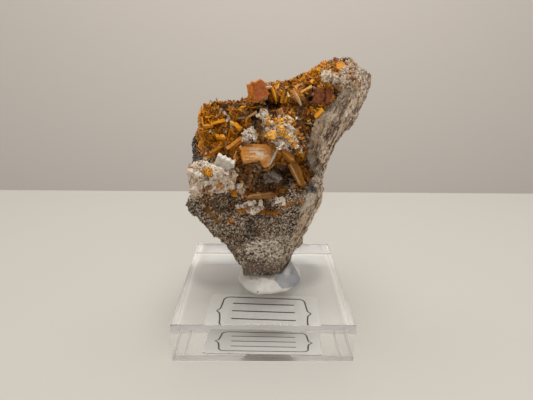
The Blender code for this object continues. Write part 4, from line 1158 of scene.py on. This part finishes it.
def make_tufts(name, seeds, surface, tufts, attributes, material, slot):
    """One piece of many tufts; attributes gives the values of each tuft's grains."""
    draw = draws("tufts")
    grown, values = [], {key: [] for key in attributes}
    for entry in tufts:
        grown.append(tuft(surface, draw, *entry[:5]))
        for key, column in attributes.items():
            spread = draw.normal(0.0, 0.09, len(grown[-1][0]))
            values[key].append(np.clip(entry[column] + spread, 0.0, 1.0))
    places, frames, sizes = map(np.concatenate, zip(*grown))
    kinds = draw.choice(len(seeds), size=len(places))
    joined = {key: np.concatenate(parts) for key, parts in values.items()}
    finish_piece(scattered(name, seeds, kinds, places, frames, sizes, **joined), material, slot)


def make_blades(material):
    """The larger blades, each laid between two pixels of the picture."""
    surface = surface_of(bpy.data.objects["rock"])
    draw = draws("blades")
    places, frames, sizes = [], [], []
    for start, end, width, thickness, stand, *_ in BLADES:
        middle = ((start[0] + end[0]) / 2, (start[1] + end[1]) / 2)
        centre = spot_on(surface, middle) - sight_line(middle) * stand * MM
        depth = (centre - EYE).length
        ends = [EYE + sight_line(pixel) * depth for pixel in (start, end)]
        along = ends[1] - ends[0]
        side = along.normalized()
        out = -sight_line(middle)
        turn = Matrix.Rotation(draw.uniform(0.5, 1.1) * draw.choice((-1, 1)), 3, side)
        up = turn @ (out - side * out.dot(side)).normalized()
        places.append(centre)
        frames.append(np.array(Matrix((side, up, side.cross(up))).transposed()))
        sizes.append((along.length, width * MM, thickness * MM))
    tones, pales = (np.array([blade[column] for blade in BLADES], float) for column in (5, 6))
    made = scattered(
        "crust_blades", [broken_seed(0.22), broken_seed(-0.3)], np.arange(len(BLADES)) % 2,
        np.array(places), np.array(frames), np.array(sizes), tone=tones, pale=pales)
    finish_piece(made, material, "orange_wulfenite")


# Single crystals


def front_of(node):
    """Middle of a CAD tablet and the way its large face looks, turned to the viewer."""
    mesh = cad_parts[node].data
    areas = {}
    for face in mesh.polygons:
        key = tuple(round(value, 2) for value in face.normal)
        areas[key] = areas.get(key, 0.0) + face.area
    facing = Vector(max(areas, key=areas.get)).normalized()
    if facing.y > 0:
        facing = -facing
    points = points_of(mesh)
    return Vector((points.min(axis=0) + points.max(axis=0)) / 2), facing


def plane_spot(pixel, middle, facing):
    """Where the sight line of a pixel meets the plane through middle."""
    ray = sight_line(pixel)
    return EYE + ray * ((middle - EYE).dot(facing) / ray.dot(facing))


def outline_slab(name, outline, middle, facing, depth, seed):
    """A slab with this outline, cut fine, with growth steps, striations and worn edges."""
    corners = [plane_spot(pixel, middle + facing * depth * 0.5, facing) for pixel in outline]
    winding = sum((a.cross(b) for a, b in zip(corners, corners[1:] + corners[:1])), Vector())
    if winding.dot(facing) < 0:
        corners.reverse()
    made = mesh_object(name, corners, [range(len(corners))])
    with editing(made):
        bpy.ops.mesh.extrude_region_move(TRANSFORM_OT_translate={"value": -facing * depth})
        bpy.ops.mesh.select_all(action="SELECT")
        bpy.ops.mesh.normals_make_consistent(inside=False)
    remesh(made, SLAB_GRID)
    points, normals = points_of(made.data), normals_of(made.data)
    flat = points - ((points - np.array(corners[0])) @ np.array(facing))[:, None] * np.array(facing)
    inward = np.linalg.norm(flat - nearest_on_loop(flat, np.array(corners)), axis=1) / MM
    out = np.abs(normals @ np.array(facing))
    across = Vector(corners[0] - corners[len(corners) // 2]).normalized()
    level = clouds(points, 1.3, shift=(seed, 0, 0))
    steps = np.floor((inward + 0.5 * level) / GROWTH_STEP) * -0.09
    lines = np.array([
        noise.noise(Vector((p.dot(facing.cross(across)) * 2600, p.dot(across) * 320, seed)))
        for p in map(Vector, points)])
    relief = out * (steps * (np.abs(steps) < 0.3) - 0.18 * (np.abs(steps) >= 0.3) + 0.05 * lines)
    relief += 0.05 * clouds(points, 0.5, 3) + (1.0 - out) * 0.10 * level
    move_points(made.data, points + normals * relief[:, None] * MM)
    set_values(made.data, "rim", 1.0 - smooth_step(0.05, 0.4, inward + 0.2 * level))
    smooth_faces(made, CRYSTAL_CREASE)
    return made


def tablet_material(name, made, marks, face, mottle, rim):
    """One big crystal: its face colour with mottling, growth lines, marks and a warmer rim."""
    material, net = new_material(name, 0.34, IOR=1.5, Specular_IOR_Level=0.2)
    colour = net.mix(net.step(net.noise(0.8, 4.0, 0.7), 0.42, 0.60), face, mottle)
    colour = marked(net, net.mix(net.value("rim"), colour, rim), marks, surface_of(made))
    net.cover(colour, net.bump(net.noise(0.25, 3.0, 0.6), 0.3, 0.06))
    return material


def make_crystals(settings):
    finishes = {
        "red_wulfenite": (settings.red, settings.red_light, settings.red_rim),
        "red_wulfenite dark": (settings.red_dark, settings.red_mid, settings.red_dark),
        "tan_wulfenite pink": (settings.pink_tan, settings.coating, settings.rim),
        "tan_wulfenite blade": (settings.blade, settings.blade_light, settings.blade),
        "tan_wulfenite smoky": (settings.smoky, settings.smoky_light, settings.smoky_light),
        "tan_wulfenite": (settings.tan, settings.tan_light, settings.rim),
        "orange_wulfenite": (settings.bright, settings.tan, settings.rim),
        "white_calcite twig": (settings.twig, settings.tablet_shade, settings.twig),
        "white_calcite": (settings.tablet, settings.tablet_shade, settings.tablet),
    }
    grown = [bpy.data.objects["rock"]]
    for number, (name, node, finish, facing, depth, outline) in enumerate(CRYSTALS):
        if node:
            middle, looks = front_of(node)
        else:
            pixel = tuple(np.mean(outline, axis=0))
            middle = spot_on(surface_of(*grown), pixel) - sight_line(pixel) * 0.4 * depth * MM
        if facing is not None:
            looks = Vector(facing).normalized()
        made = outline_slab(name, outline, middle, looks, depth * MM, 3.7 * number)
        words = name.replace("_", " ").capitalize()
        material = tablet_material(words, made, CRYSTAL_MARKS.get(name, ()), *finishes[finish])
        finish_piece(made, material, finish.split()[0], *([node] if node else []))
        grown.append(made)
    make_roots(settings, grown[1:])


def make_roots(settings, crystals):
    """Small plates that join the backs of the single crystals to the rock."""
    surface = surface_of(bpy.data.objects["rock"])
    draw = draws("roots")
    places, away = [], []
    for made in crystals:
        points = points_of(made.data)
        points = points[draw.choice(len(points), size=4 * settings.root_plates)]
        met = [surface.find_nearest(Vector(point)) for point in points]
        for number in np.argsort([hit[3] for hit in met])[:settings.root_plates]:
            point, spot = Vector(points[number]), met[number][0]
            places.append(spot.lerp(point, draw.uniform(0.0, 0.9)))
            away.append(met[number][1] * 0.5 + (point - spot).normalized())
    count = len(places)
    frames = standing_frames(np.array(away), draw, 0.4, 0.4)
    sizes = np.array([0.9, 1.0, 0.25]) * draw.uniform(0.5, 1.1, (count, 3)) * MM
    made = scattered(
        "crystal_roots", [tablet_seed(1.15), broken_seed(0.7)], draw.choice(2, size=count),
        np.array(places), frames, sizes,
        tone=draw.uniform(0.2, 0.75, count), pale=draw.uniform(0.0, 0.3, count))
    finish_piece(made, bpy.data.materials["Orange wulfenite"], "orange_wulfenite")


# Calcite


def calcite_material(settings):
    material, net = new_material("White calcite", 0.55, Specular_IOR_Level=0.3)
    cloud = net.minus(net.noise(1.2, 3.0, 0.7), 0.5)
    tone = net.times_plus(cloud, 0.7, net.value("tone"), clamp=True)
    colour = net.ramp(tone, (settings.white, settings.stain), (
        (0.35, settings.cream), (0.7, settings.tan)))
    pink = net.step(net.noise(2.2, 2.0, 0.6), 0.52, 0.66, 0.0, 0.55)
    # Painted shade: grey-brown in the crevices between the knobs.
    colour = net.mix(net.value("crevice_shade"), net.mix(pink, colour, settings.pink), settings.gap)
    net.cover(colour, net.bump(net.noise(0.3, 3.0, 0.65), 0.5, 0.1))
    return material


def calcite_knob(place):
    """How far a rounded knob of calcite stands out (mm)."""
    swell = noise.fractal(place / (1.7 * MM), 0.8, 2.1, 4)
    return 0.75 * swell - 1.6 * noise.voronoi(place / (1.9 * MM))[0][0]


def make_calcite(settings):
    material = calcite_material(settings)
    seeds = [broken_seed(0.8), broken_seed(-0.5), grain_seed(4), tablet_seed(1.3)]
    draw = draws("calcite")
    bodies = []
    for name, node, count, size, stain in CALCITES:
        body = node_copy(node, name + "_body")
        remesh(body, CALCITE_GRID)
        points, normals = points_of(body.data), normals_of(body.data)
        if name == "calcite_left":
            points = pressed_into(points, CALCITE_EDGE)
        knobs = np.array([calcite_knob(Vector(point)) for point in points])
        move_points(body.data, points + normals * (knobs[:, None] + 0.1) * MM)
        # Painted shade: where the body is sunk between knobs, its tone rises towards the stained browns, and
        # the crevice mask paints grey-brown shade there.
        set_values(body.data, "tone", stain + 0.1 - 0.3 * knobs)
        set_values(body.data, "crevice_shade", smooth_step(0.25, 1.25, -knobs))
        places, normals = face_samples(
            body.data, count, draw, lambda at, out: np.clip(0.5 - out[:, 1], 0.1, 1.5))
        frames = standing_frames(normals, draw, 0.6, 0.6)
        length = size * draw.uniform(0.4, 1.3, count)
        sizes = np.stack([
            length, length * draw.uniform(0.5, 1.0, count), length * draw.uniform(0.2, 0.6, count),
        ], axis=1) * MM
        tone = stain + draw.normal(0.0, 0.16, count) + 0.5 * clouds(places, 1.8)
        tone = tone + 0.5 * (draw.random(count) > 0.94)
        grains = scattered(
            name + "_grains", seeds, draw.choice(4, size=count), places, frames, sizes,
            tone=np.clip(tone, 0.0, 1.0))
        select_only(body)
        grains.select_set(True)
        bpy.ops.object.join()
        body.name = name
        bodies.append(finish_piece(body, material, "white_calcite", node))
    surface = surface_of(bpy.data.objects["rock"], *bodies)
    make_tufts("calcite_tufts", seeds, surface, WHITE_TUFTS, {"tone": 5}, material, "white_calcite")
    make_tufts("orange_tufts", seeds, surface, ORANGE_TUFTS, {"tone": 5, "pale": 6},
               bpy.data.materials["Orange wulfenite"], "orange_wulfenite")


# Block, label and putty


def make_block(settings):
    low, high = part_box("acrylic_block")
    block = start_from(
        bpy.ops.mesh.primitive_cube_add, size=1.0, location=(low + high) / 2, scale=high - low)
    block.name = "clear_block"
    bpy.ops.object.transform_apply(location=True, rotation=True, scale=True)
    mesh = block.data
    upper = [vert.co.z > low.z + 1e-6 for vert in mesh.vertices]
    mesh.polygons.foreach_set("select", [False] * len(mesh.polygons))
    mesh.vertices.foreach_set("select", upper)
    mesh.edges.foreach_set("select", [all(upper[end] for end in edge.vertices) for edge in mesh.edges])
    bpy.ops.object.mode_set(mode="EDIT")
    bpy.ops.mesh.bevel(offset=settings.top_bevel * MM, segments=2, affect="EDGES")
    bpy.ops.object.mode_set(mode="OBJECT")
    material, net = new_material(
        "Clear acrylic", ACRYLIC_ROUGHNESS, IOR=settings.acrylic_ior, Transmission_Weight=1.0)
    # Painted shade: the grey tint of the bands along the top and bottom edges of the block's sides paints the
    # greyer stripes that these edges show in the room's light; the frost makes the bands rougher.
    half = 0.5 * BLOCK_HEIGHT
    from_middle = net.math("ABSOLUTE", net.minus(net.here_split()["Z"], half * MM))
    inner = (half - settings.edge_band) * MM
    band = net.step(from_middle, inner - 0.1 * MM, inner + 0.1 * MM)
    rim = net.step(from_middle, (half - 0.08) * MM, (half - 0.04) * MM, 1.0, 0.0)
    edge = net.times(band, rim)
    net.cover(net.mix(edge, (1.0, 1.0, 1.0), settings.edge_shade_tint))
    net.feed(net.shader.inputs["Roughness"], net.times_plus(edge, settings.edge_frost, ACRYLIC_ROUGHNESS))
    block.visible_shadow = False
    finish_piece(block, material, "clear_acrylic", "acrylic_block")


def make_label(settings):
    low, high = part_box("label")
    film = node_copy("label", "label_film")
    points = points_of(film.data)
    points[:, 2] = (points[:, 2] - low.z) / (high.z - low.z) * FILM_THICKNESS * MM + FILM_FOOT * MM
    move_points(film.data, points)
    material, net = new_material("Label film", 0.6)
    net.cover(net.mix(net.noise(4.0), settings.label, [0.94 * c for c in settings.label]))
    finish_piece(film, material, "label_film", "label")
    curve = bpy.data.curves.new("label_lines", "CURVE")
    curve.dimensions = "3D"
    curve.bevel_depth = settings.ink_width / 2 * MM
    curve.bevel_resolution = 1
    height = INK_HEIGHT * MM
    ruled = [[(-9.6, row + 0.5), (9.8, row - 0.45)] for row in RULED_ROWS]
    for loop in (LABEL_LINE, *ruled):
        spline = curve.splines.new("POLY")
        spline.points.add(len(loop) - 1)
        for point, (x, y) in zip(spline.points, loop):
            point.co = (x * MM, y * MM, height, 1.0)
        spline.use_cyclic_u = loop is LABEL_LINE
    select_only(add_object("label_lines", curve))
    bpy.ops.object.convert(target="MESH")
    lines = bpy.context.object
    points = points_of(lines.data)
    points[:, 2] = height + (points[:, 2] - height) * INK_FLATNESS
    move_points(lines.data, points)
    ink = new_material("Label ink", 0.5, Base_Color=colour4(settings.ink))[0]
    finish_piece(lines, ink, "label_film")


def make_putty(settings):
    putty = node_copy("mounting_putty", "putty")
    remesh(putty, PUTTY_GRID)
    apply_modifier(putty, "SMOOTH", iterations=4)
    points, normals = points_of(putty.data), normals_of(putty.data)
    low = points[:, 2].min()
    points = points + normals * (0.3 + 0.35 * clouds(points, 3.5, 2))[:, None] * MM
    foot = (BLOCK_HEIGHT - 0.04) * MM
    points[:, 2] = np.maximum(points[:, 2] - (low - foot), foot)
    rock = surface_of(bpy.data.objects["rock"])
    high = points[:, 2].max()
    for number, point in enumerate(points):
        rim = smooth_step(high - 2.4 * MM, high - 0.4 * MM, point[2])
        side = smooth_step(1.5 * MM, 5.5 * MM, point[0])
        climb = rim * max(side, 0.36 * smooth_step(1.0 * MM, -3.0 * MM, point[1]))
        if climb > 0.0:
            raised = Vector(point) + Vector((0.3 * side, 0.0, 1.0)) * climb * settings.smear_height * MM
            spot, normal = rock.find_nearest(raised)[:2]
            skin = spot + normal * (0.28 + 0.17 * side) * MM
            points[number] = Vector(point).lerp(skin, min(1.0, rim * 1.6))
    move_points(putty.data, points)
    apply_modifier(putty, "SMOOTH", iterations=3)
    # Painted shade: inside that facet the points that face the camera are marked, and their colour is mixed
    # towards the bluish grey of its shade.
    facing = normals_of(putty.data) @ np.array(camera_axes()[2]) < 0.15
    facet = inside_outline(pixels_of(points_of(putty.data)), PUTTY_SHADED_FACET) * facing
    set_values(putty.data, "facet", facet)
    select_only(putty)
    bpy.ops.object.shade_smooth()
    material, net = new_material(
        "Milky putty", 0.3, IOR=1.45, Subsurface_Weight=0.35, Subsurface_Scale=0.002,
        Subsurface_Radius=(1.0, 0.95, 0.9))
    warm = net.step(net.noise(3.0, 2.0, 0.5), 0.4, 0.6)
    shade = net.times(net.value("facet"), net.step(net.noise(4.0), 0.3, 0.7, 0.75, 1.0))
    colour = net.mix(warm, settings.putty, settings.putty_warm)
    colour = marked(net, net.mix(shade, colour, settings.putty_shade), (
        ((248, 270), (276, 270), 1.7, 1.6, settings.putty_brown, 0.85),
        ((252, 276), (274, 277), 1.3, 1.4, settings.putty_brown, 0.55),
        ((286, 256), (287, 272), 1.4, 0.8, settings.putty_warm, 0.6),
        ((254, 297), (254.4, 297), 0.22, 0.1, settings.ink, 0.8),
        ((247.6, 301), (248, 301), 0.2, 0.1, settings.ink, 0.8),
    ), surface_of(putty))
    net.cover(colour, net.bump(net.noise(1.8, 2.0, 0.5), 0.25, 0.2))
    finish_piece(putty, material, "putty", "mounting_putty")


# The stage


def stage_plane(name, colour, location, rotation=(0.0, 0.0, 0.0)):
    """A wide plane of the stage; gives back the wiring of its material."""
    plane = start_from(bpy.ops.mesh.primitive_plane_add, size=1.0, location=location, rotation=rotation)
    plane.name = name
    plane.scale = (2 * TABLE_REACH * MM, TABLE_REACH * MM, 1.0)
    bpy.ops.object.transform_apply(location=True, rotation=True, scale=True)
    material, net = new_material(name, 0.7, Base_Color=colour4(colour))
    plane.data.materials.append(material)
    return net


def area_light(name, power, size, place, target):
    light = bpy.data.lights.new(name, "AREA")
    light.shape = "RECTANGLE"
    light.size, light.size_y = size
    light.energy = power
    made = add_object(name, light)
    made.location = place
    made.rotation_euler = (Vector(target) - Vector(place)).to_track_quat("-Z", "Y").to_euler()


def make_stage(settings):
    scene = bpy.context.scene
    camera = bpy.data.cameras.new("camera")
    camera.sensor_width = SENSOR_WIDTH
    camera.lens = SENSOR_WIDTH * FOCAL_PIXELS / PICTURE_WIDTH
    camera.clip_start = 0.005
    scene.camera = add_object("camera", camera)
    right, up, sight = camera_axes()
    turn = Matrix((right, up, -sight)).transposed().to_4x4()
    scene.camera.matrix_world = Matrix.Translation(EYE) @ turn
    middle = TABLE_BACK * MM - TABLE_REACH * MM / 2
    net = stage_plane("table", settings.table, (0.0, middle, -TABLE_DROP * MM))
    here = net.here_split()
    foot = FOOT_SHADE
    for axis in ("X", "Y"):
        aside = net.math("ABSOLUTE", here[axis])
        foot = net.times(net.step(aside, (FOOT_REACH - 2.0) * MM, (FOOT_REACH + 0.4) * MM, 1.0, 0.0), foot)
    shaded = net.mix(foot, settings.table, settings.table_shade)
    start, end, radius, strength = BACK_SHADE
    ends = [(x * MM, y * MM, 0.0) for x, y in (start, end)]
    net.cover(with_mark(net, shaded, ends, radius, 0.0, settings.table_shade, strength))
    stage_plane("wall", settings.wall, (0.0, WALL_DISTANCE * MM, 0.1), (math.radians(90), 0.0, 0.0))
    area_light("key", settings.key_power, (0.26, 0.22), (0.02, -0.07, 0.48), (0.0, 0.0, 0.04))
    area_light("fill", settings.fill_power, (0.40, 0.30), (0.10, -0.45, 0.28), (0.0, 0.0, 0.04))
    area_light("wall_light", settings.wall_power, (0.9, 0.3), (0.0, 0.15, 0.6), (0.0, 0.42, 0.15))
    scene.world = bpy.data.worlds.new("room")
    scene.world.use_nodes = True
    background = scene.world.node_tree.nodes["Background"]
    background.inputs["Color"].default_value = colour4(settings.room)
    background.inputs["Strength"].default_value = settings.room_strength
    scene.view_settings.view_transform = "Standard"


# Settings, operators and panel


def amount(name, description, default):
    """A setting for a plain number."""
    return FloatProperty(name=name, description=description, default=default, min=0.0)


def span(name, description, default):
    """A setting for a length."""
    return amount(name, description + ", in millimetres", default)


def tally(name, description, default):
    """A setting for how many there are."""
    return IntProperty(name=name, description=description, default=default, min=1)


def tint(name, description, default):
    """A setting for a colour."""
    return FloatVectorProperty(
        name=name, description=description, default=default, subtype="COLOR", size=3, min=0.0, max=1.0)


class SpecimenStone(bpy.types.PropertyGroup):
    skin_size: span("Skin size", "Grid of the rock's fine skin", 0.33)
    grain_count: tally("Grains", "Grains that stand out of the rock", 15500)
    grain_size: span("Grain size", "Size of the mineral grains", 0.36)
    fleck_size: span("Fleck size", "Size of the cream flecks and dark gaps", 0.95)
    body: tint("Body", "The rock's own colour", (0.17, 0.12, 0.08))
    body_warm: tint("Warm body", "Warmer patches of the rock", (0.34, 0.225, 0.14))
    flank_dark: tint("Dark flank", "Dark streaks of the flank", (0.17, 0.105, 0.064))
    flank_light: tint("Light flank", "Light streaks of the flank", (0.70, 0.52, 0.365))
    groove: tint("Groove", "Dark grooves of the flank", (0.10, 0.058, 0.034))
    salt: tint("Light grains", "The palest grains", (0.84, 0.74, 0.59))
    pepper: tint("Dark grains", "The darkest grains and pits", (0.026, 0.019, 0.014))
    rust: tint("Rust", "Brown stains", (0.20, 0.085, 0.030))
    # Painted shade: the dark and the lighter colours of the shade on the ground between the crust's plates.
    ground_shade_dark: tint("Dark ground", "Ground between the plates", (0.035, 0.016, 0.006))
    ground_shade_light: tint("Light ground", "Lighter ground between the plates", (0.16, 0.07, 0.018))


class SpecimenWulfenite(bpy.types.PropertyGroup):
    fine_plates: tally("Fine plates", "Finest plates in the crust", 10500)
    coarse_plates: tally("Coarse plates", "Larger plates in the crust", 2800)
    root_plates: tally("Root plates", "Plates behind each single crystal", 60)
    plate_least: span("Smallest plate", "Length of the smallest plate", 0.28)
    plate_middle: span("Middle plate", "Length between fine and coarse plates", 0.85)
    plate_most: span("Largest plate", "Length of the largest plate", 1.8)
    shadow: tint("Darkest", "Darkest plates", (0.035, 0.012, 0.003))
    brown: tint("Brown", "Brown plates", (0.16, 0.052, 0.006))
    body: tint("Body", "Orange-brown plates", (0.46, 0.148, 0.003))
    bright: tint("Bright", "Bright orange plates", (0.80, 0.31, 0.005))
    honey: tint("Honey", "Honey-coloured plates", (0.90, 0.50, 0.08))
    mustard: tint("Mustard", "What the yellower plates keep of each colour", (0.80, 1.0, 0.6))
    coating: tint("Coating", "Pale coating on plates", (0.66, 0.54, 0.38))
    coating_pink: tint("Pink coating", "Pinkish coating on plates", (0.48, 0.30, 0.20))
    red: tint("Red", "Face of the red crystals", (0.44, 0.105, 0.028))
    red_light: tint("Light red", "Mottling of the red crystals", (0.54, 0.17, 0.05))
    red_dark: tint("Dark red", "Face of the dark red crystals", (0.15, 0.040, 0.013))
    red_mid: tint("Middle red", "Mottling of the dark red crystals", (0.26, 0.07, 0.02))
    red_rim: tint("Red rim", "Orange rim of the red crystals", (0.54, 0.17, 0.010))
    tan: tint("Tan", "Face of the tan crystals", (0.50, 0.20, 0.036))
    tan_light: tint("Light tan", "Mottling of the tan crystals", (0.58, 0.28, 0.08))
    blade: tint("Blade", "Face of the long blades", (0.38, 0.160, 0.022))
    blade_light: tint("Light blade", "Lighter parts of the long blades", (0.52, 0.25, 0.05))
    pink_tan: tint("Pink tan", "Face of the pinkish plate", (0.50, 0.26, 0.13))
    smoky: tint("Smoky", "Face of the smoky crystal in the pocket", (0.27, 0.195, 0.15))
    smoky_light: tint("Light smoky", "Mottling of the smoky crystal", (0.46, 0.38, 0.31))
    rim: tint("Rim", "Warm rim of the crystals", (0.50, 0.17, 0.006))
    tablet: tint("White tablet", "Face of the white tablet", (0.74, 0.69, 0.61))
    twig: tint("Twig", "The grey twig on the tan plate", (0.44, 0.39, 0.34))
    tablet_shade: tint("White tablet shade", "Greyer parts of the white tablet", (0.56, 0.52, 0.46))


class SpecimenCalcite(bpy.types.PropertyGroup):
    white: tint("White", "Clean calcite", (0.84, 0.76, 0.66))
    cream: tint("Cream", "Creamy calcite", (0.66, 0.54, 0.40))
    tan: tint("Tan", "Stained grains", (0.40, 0.23, 0.10))
    stain: tint("Stain", "Most strongly stained grains", (0.34, 0.11, 0.012))
    pink: tint("Pink", "Pinkish calcite", (0.56, 0.38, 0.28))
    # Painted shade: the grey-brown painted into the crevices between the knobs.
    gap: tint("Gap", "Grey-brown gaps between the grains", (0.16, 0.10, 0.065))


class SpecimenMount(bpy.types.PropertyGroup):
    top_bevel: span("Top bevel", "Rounding of the block's upper edges", 0.2)
    acrylic_ior: amount("Acrylic IOR", "Index of refraction of the block", 1.49)
    edge_band: span("Edge band", "Height of the greyer bands along the block's edges", 1.5)
    # Painted shade: this tint greys the bands along the block's edges for the stripes that the edges show in
    # the room's light.
    edge_shade_tint: tint("Edge tint", "The greyer bands along the block's edges", (0.66, 0.67, 0.69))
    edge_frost: amount("Edge frost", "How frosted those bands are", 0.28)
    smear_height: span("Smear height", "How far the putty climbs the rock", 5.0)
    putty: tint("Putty", "Milky putty", (0.68, 0.65, 0.60))
    putty_warm: tint("Warm putty", "Warmer parts of the putty", (0.76, 0.72, 0.66))
    # Painted shade: the bluish grey of the facet on the putty's right, which lies in shade.
    putty_shade: tint("Putty shade", "Bluish side of the putty", (0.31, 0.315, 0.33))
    putty_brown: tint("Putty over rock", "Thin putty with the rock behind it", (0.24, 0.17, 0.12))
    label: tint("Label", "Label film", (0.59, 0.565, 0.52))
    ink: tint("Ink", "Printed lines", (0.02, 0.02, 0.02))
    ink_width: span("Ink width", "Width of the printed lines", 0.5)


class SpecimenStage(bpy.types.PropertyGroup):
    table: tint("Table", "Pale table", (0.58, 0.545, 0.49))
    table_shade: tint("Table shade", "Table in the shade under the block", (0.17, 0.16, 0.145))
    wall: tint("Wall", "Grey wall", (0.72, 0.655, 0.59))
    room: tint("Room", "Light from the rest of the room", (1.0, 0.97, 0.93))
    room_strength: amount("Room strength", "Strength of the room's light", 0.42)
    key_power: amount("Key power", "Power of the light above, in watts", 1.1)
    fill_power: amount("Fill power", "Power of the light in front, in watts", 0.45)
    wall_power: amount("Wall power", "Power of the light on the wall, in watts", 1.3)


class SPECIMEN_OT_stage(bpy.types.Operator):
    """Sets the camera, the lights, the table and the wall"""
    bl_idname = "specimen.stage"
    bl_label = "Stage"

    def execute(self, context):
        make_stage(context.scene.specimen_stage)
        return {"FINISHED"}


class SPECIMEN_OT_rock(bpy.types.Operator):
    """Builds the rock's broken, granular skin"""
    bl_idname = "specimen.rock"
    bl_label = "Rock"

    def execute(self, context):
        make_rock(context.scene.specimen_stone)
        return {"FINISHED"}


class SPECIMEN_OT_crust(bpy.types.Operator):
    """Grows the crust of small plates and blades on the rock"""
    bl_idname = "specimen.crust"
    bl_label = "Crystal crust"

    def execute(self, context):
        make_crust(context.scene.specimen_wulfenite)
        return {"FINISHED"}


class SPECIMEN_OT_crystals(bpy.types.Operator):
    """Models the single crystals that stand out of the crust"""
    bl_idname = "specimen.crystals"
    bl_label = "Single crystals"

    def execute(self, context):
        make_crystals(context.scene.specimen_wulfenite)
        return {"FINISHED"}


class SPECIMEN_OT_calcite(bpy.types.Operator):
    """Models the white calcite groups"""
    bl_idname = "specimen.calcite"
    bl_label = "Calcite"

    def execute(self, context):
        make_calcite(context.scene.specimen_calcite)
        return {"FINISHED"}


class SPECIMEN_OT_block(bpy.types.Operator):
    """Models the clear block"""
    bl_idname = "specimen.block"
    bl_label = "Clear block"

    def execute(self, context):
        make_block(context.scene.specimen_mount)
        return {"FINISHED"}


class SPECIMEN_OT_label(bpy.types.Operator):
    """Models the label film and its printed lines"""
    bl_idname = "specimen.label"
    bl_label = "Label"

    def execute(self, context):
        make_label(context.scene.specimen_mount)
        return {"FINISHED"}


class SPECIMEN_OT_putty(bpy.types.Operator):
    """Models the putty that holds the rock"""
    bl_idname = "specimen.putty"
    bl_label = "Putty"

    def execute(self, context):
        make_putty(context.scene.specimen_mount)
        return {"FINISHED"}


SETTINGS = {
    "specimen_stone": SpecimenStone,
    "specimen_wulfenite": SpecimenWulfenite,
    "specimen_calcite": SpecimenCalcite,
    "specimen_mount": SpecimenMount,
    "specimen_stage": SpecimenStage,
}
OPERATORS = (
    SPECIMEN_OT_stage, SPECIMEN_OT_rock, SPECIMEN_OT_crust, SPECIMEN_OT_crystals,
    SPECIMEN_OT_calcite, SPECIMEN_OT_block, SPECIMEN_OT_label, SPECIMEN_OT_putty,
)


class SPECIMEN_PT_panel(bpy.types.Panel):
    bl_idname = "SPECIMEN_PT_panel"
    bl_label = "Mineral Specimen"
    bl_space_type = "VIEW_3D"
    bl_region_type = "UI"
    bl_category = "Specimen"

    def draw(self, context):
        for operator in OPERATORS:
            self.layout.operator(operator.bl_idname)
        for name, group in SETTINGS.items():
            box = self.layout.box()
            for key in group.__annotations__:
                box.prop(getattr(context.scene, name), key)


def register():
    for group in SETTINGS.values():
        bpy.utils.register_class(group)
    for made in (*OPERATORS, SPECIMEN_PT_panel):
        bpy.utils.register_class(made)
    for name, group in SETTINGS.items():
        setattr(bpy.types.Scene, name, PointerProperty(type=group))


def unregister():
    for name in SETTINGS:
        delattr(bpy.types.Scene, name)
    for made in (SPECIMEN_PT_panel, *reversed(OPERATORS)):
        bpy.utils.unregister_class(made)
    for group in reversed(SETTINGS.values()):
        bpy.utils.unregister_class(group)


def main():
    register()
    bpy.ops.specimen.stage()
    bpy.ops.specimen.rock()
    bpy.ops.specimen.crust()
    bpy.ops.specimen.crystals()
    bpy.ops.specimen.calcite()
    bpy.ops.specimen.block()
    bpy.ops.specimen.label()
    bpy.ops.specimen.putty()


if __name__ == "__main__":
    main()
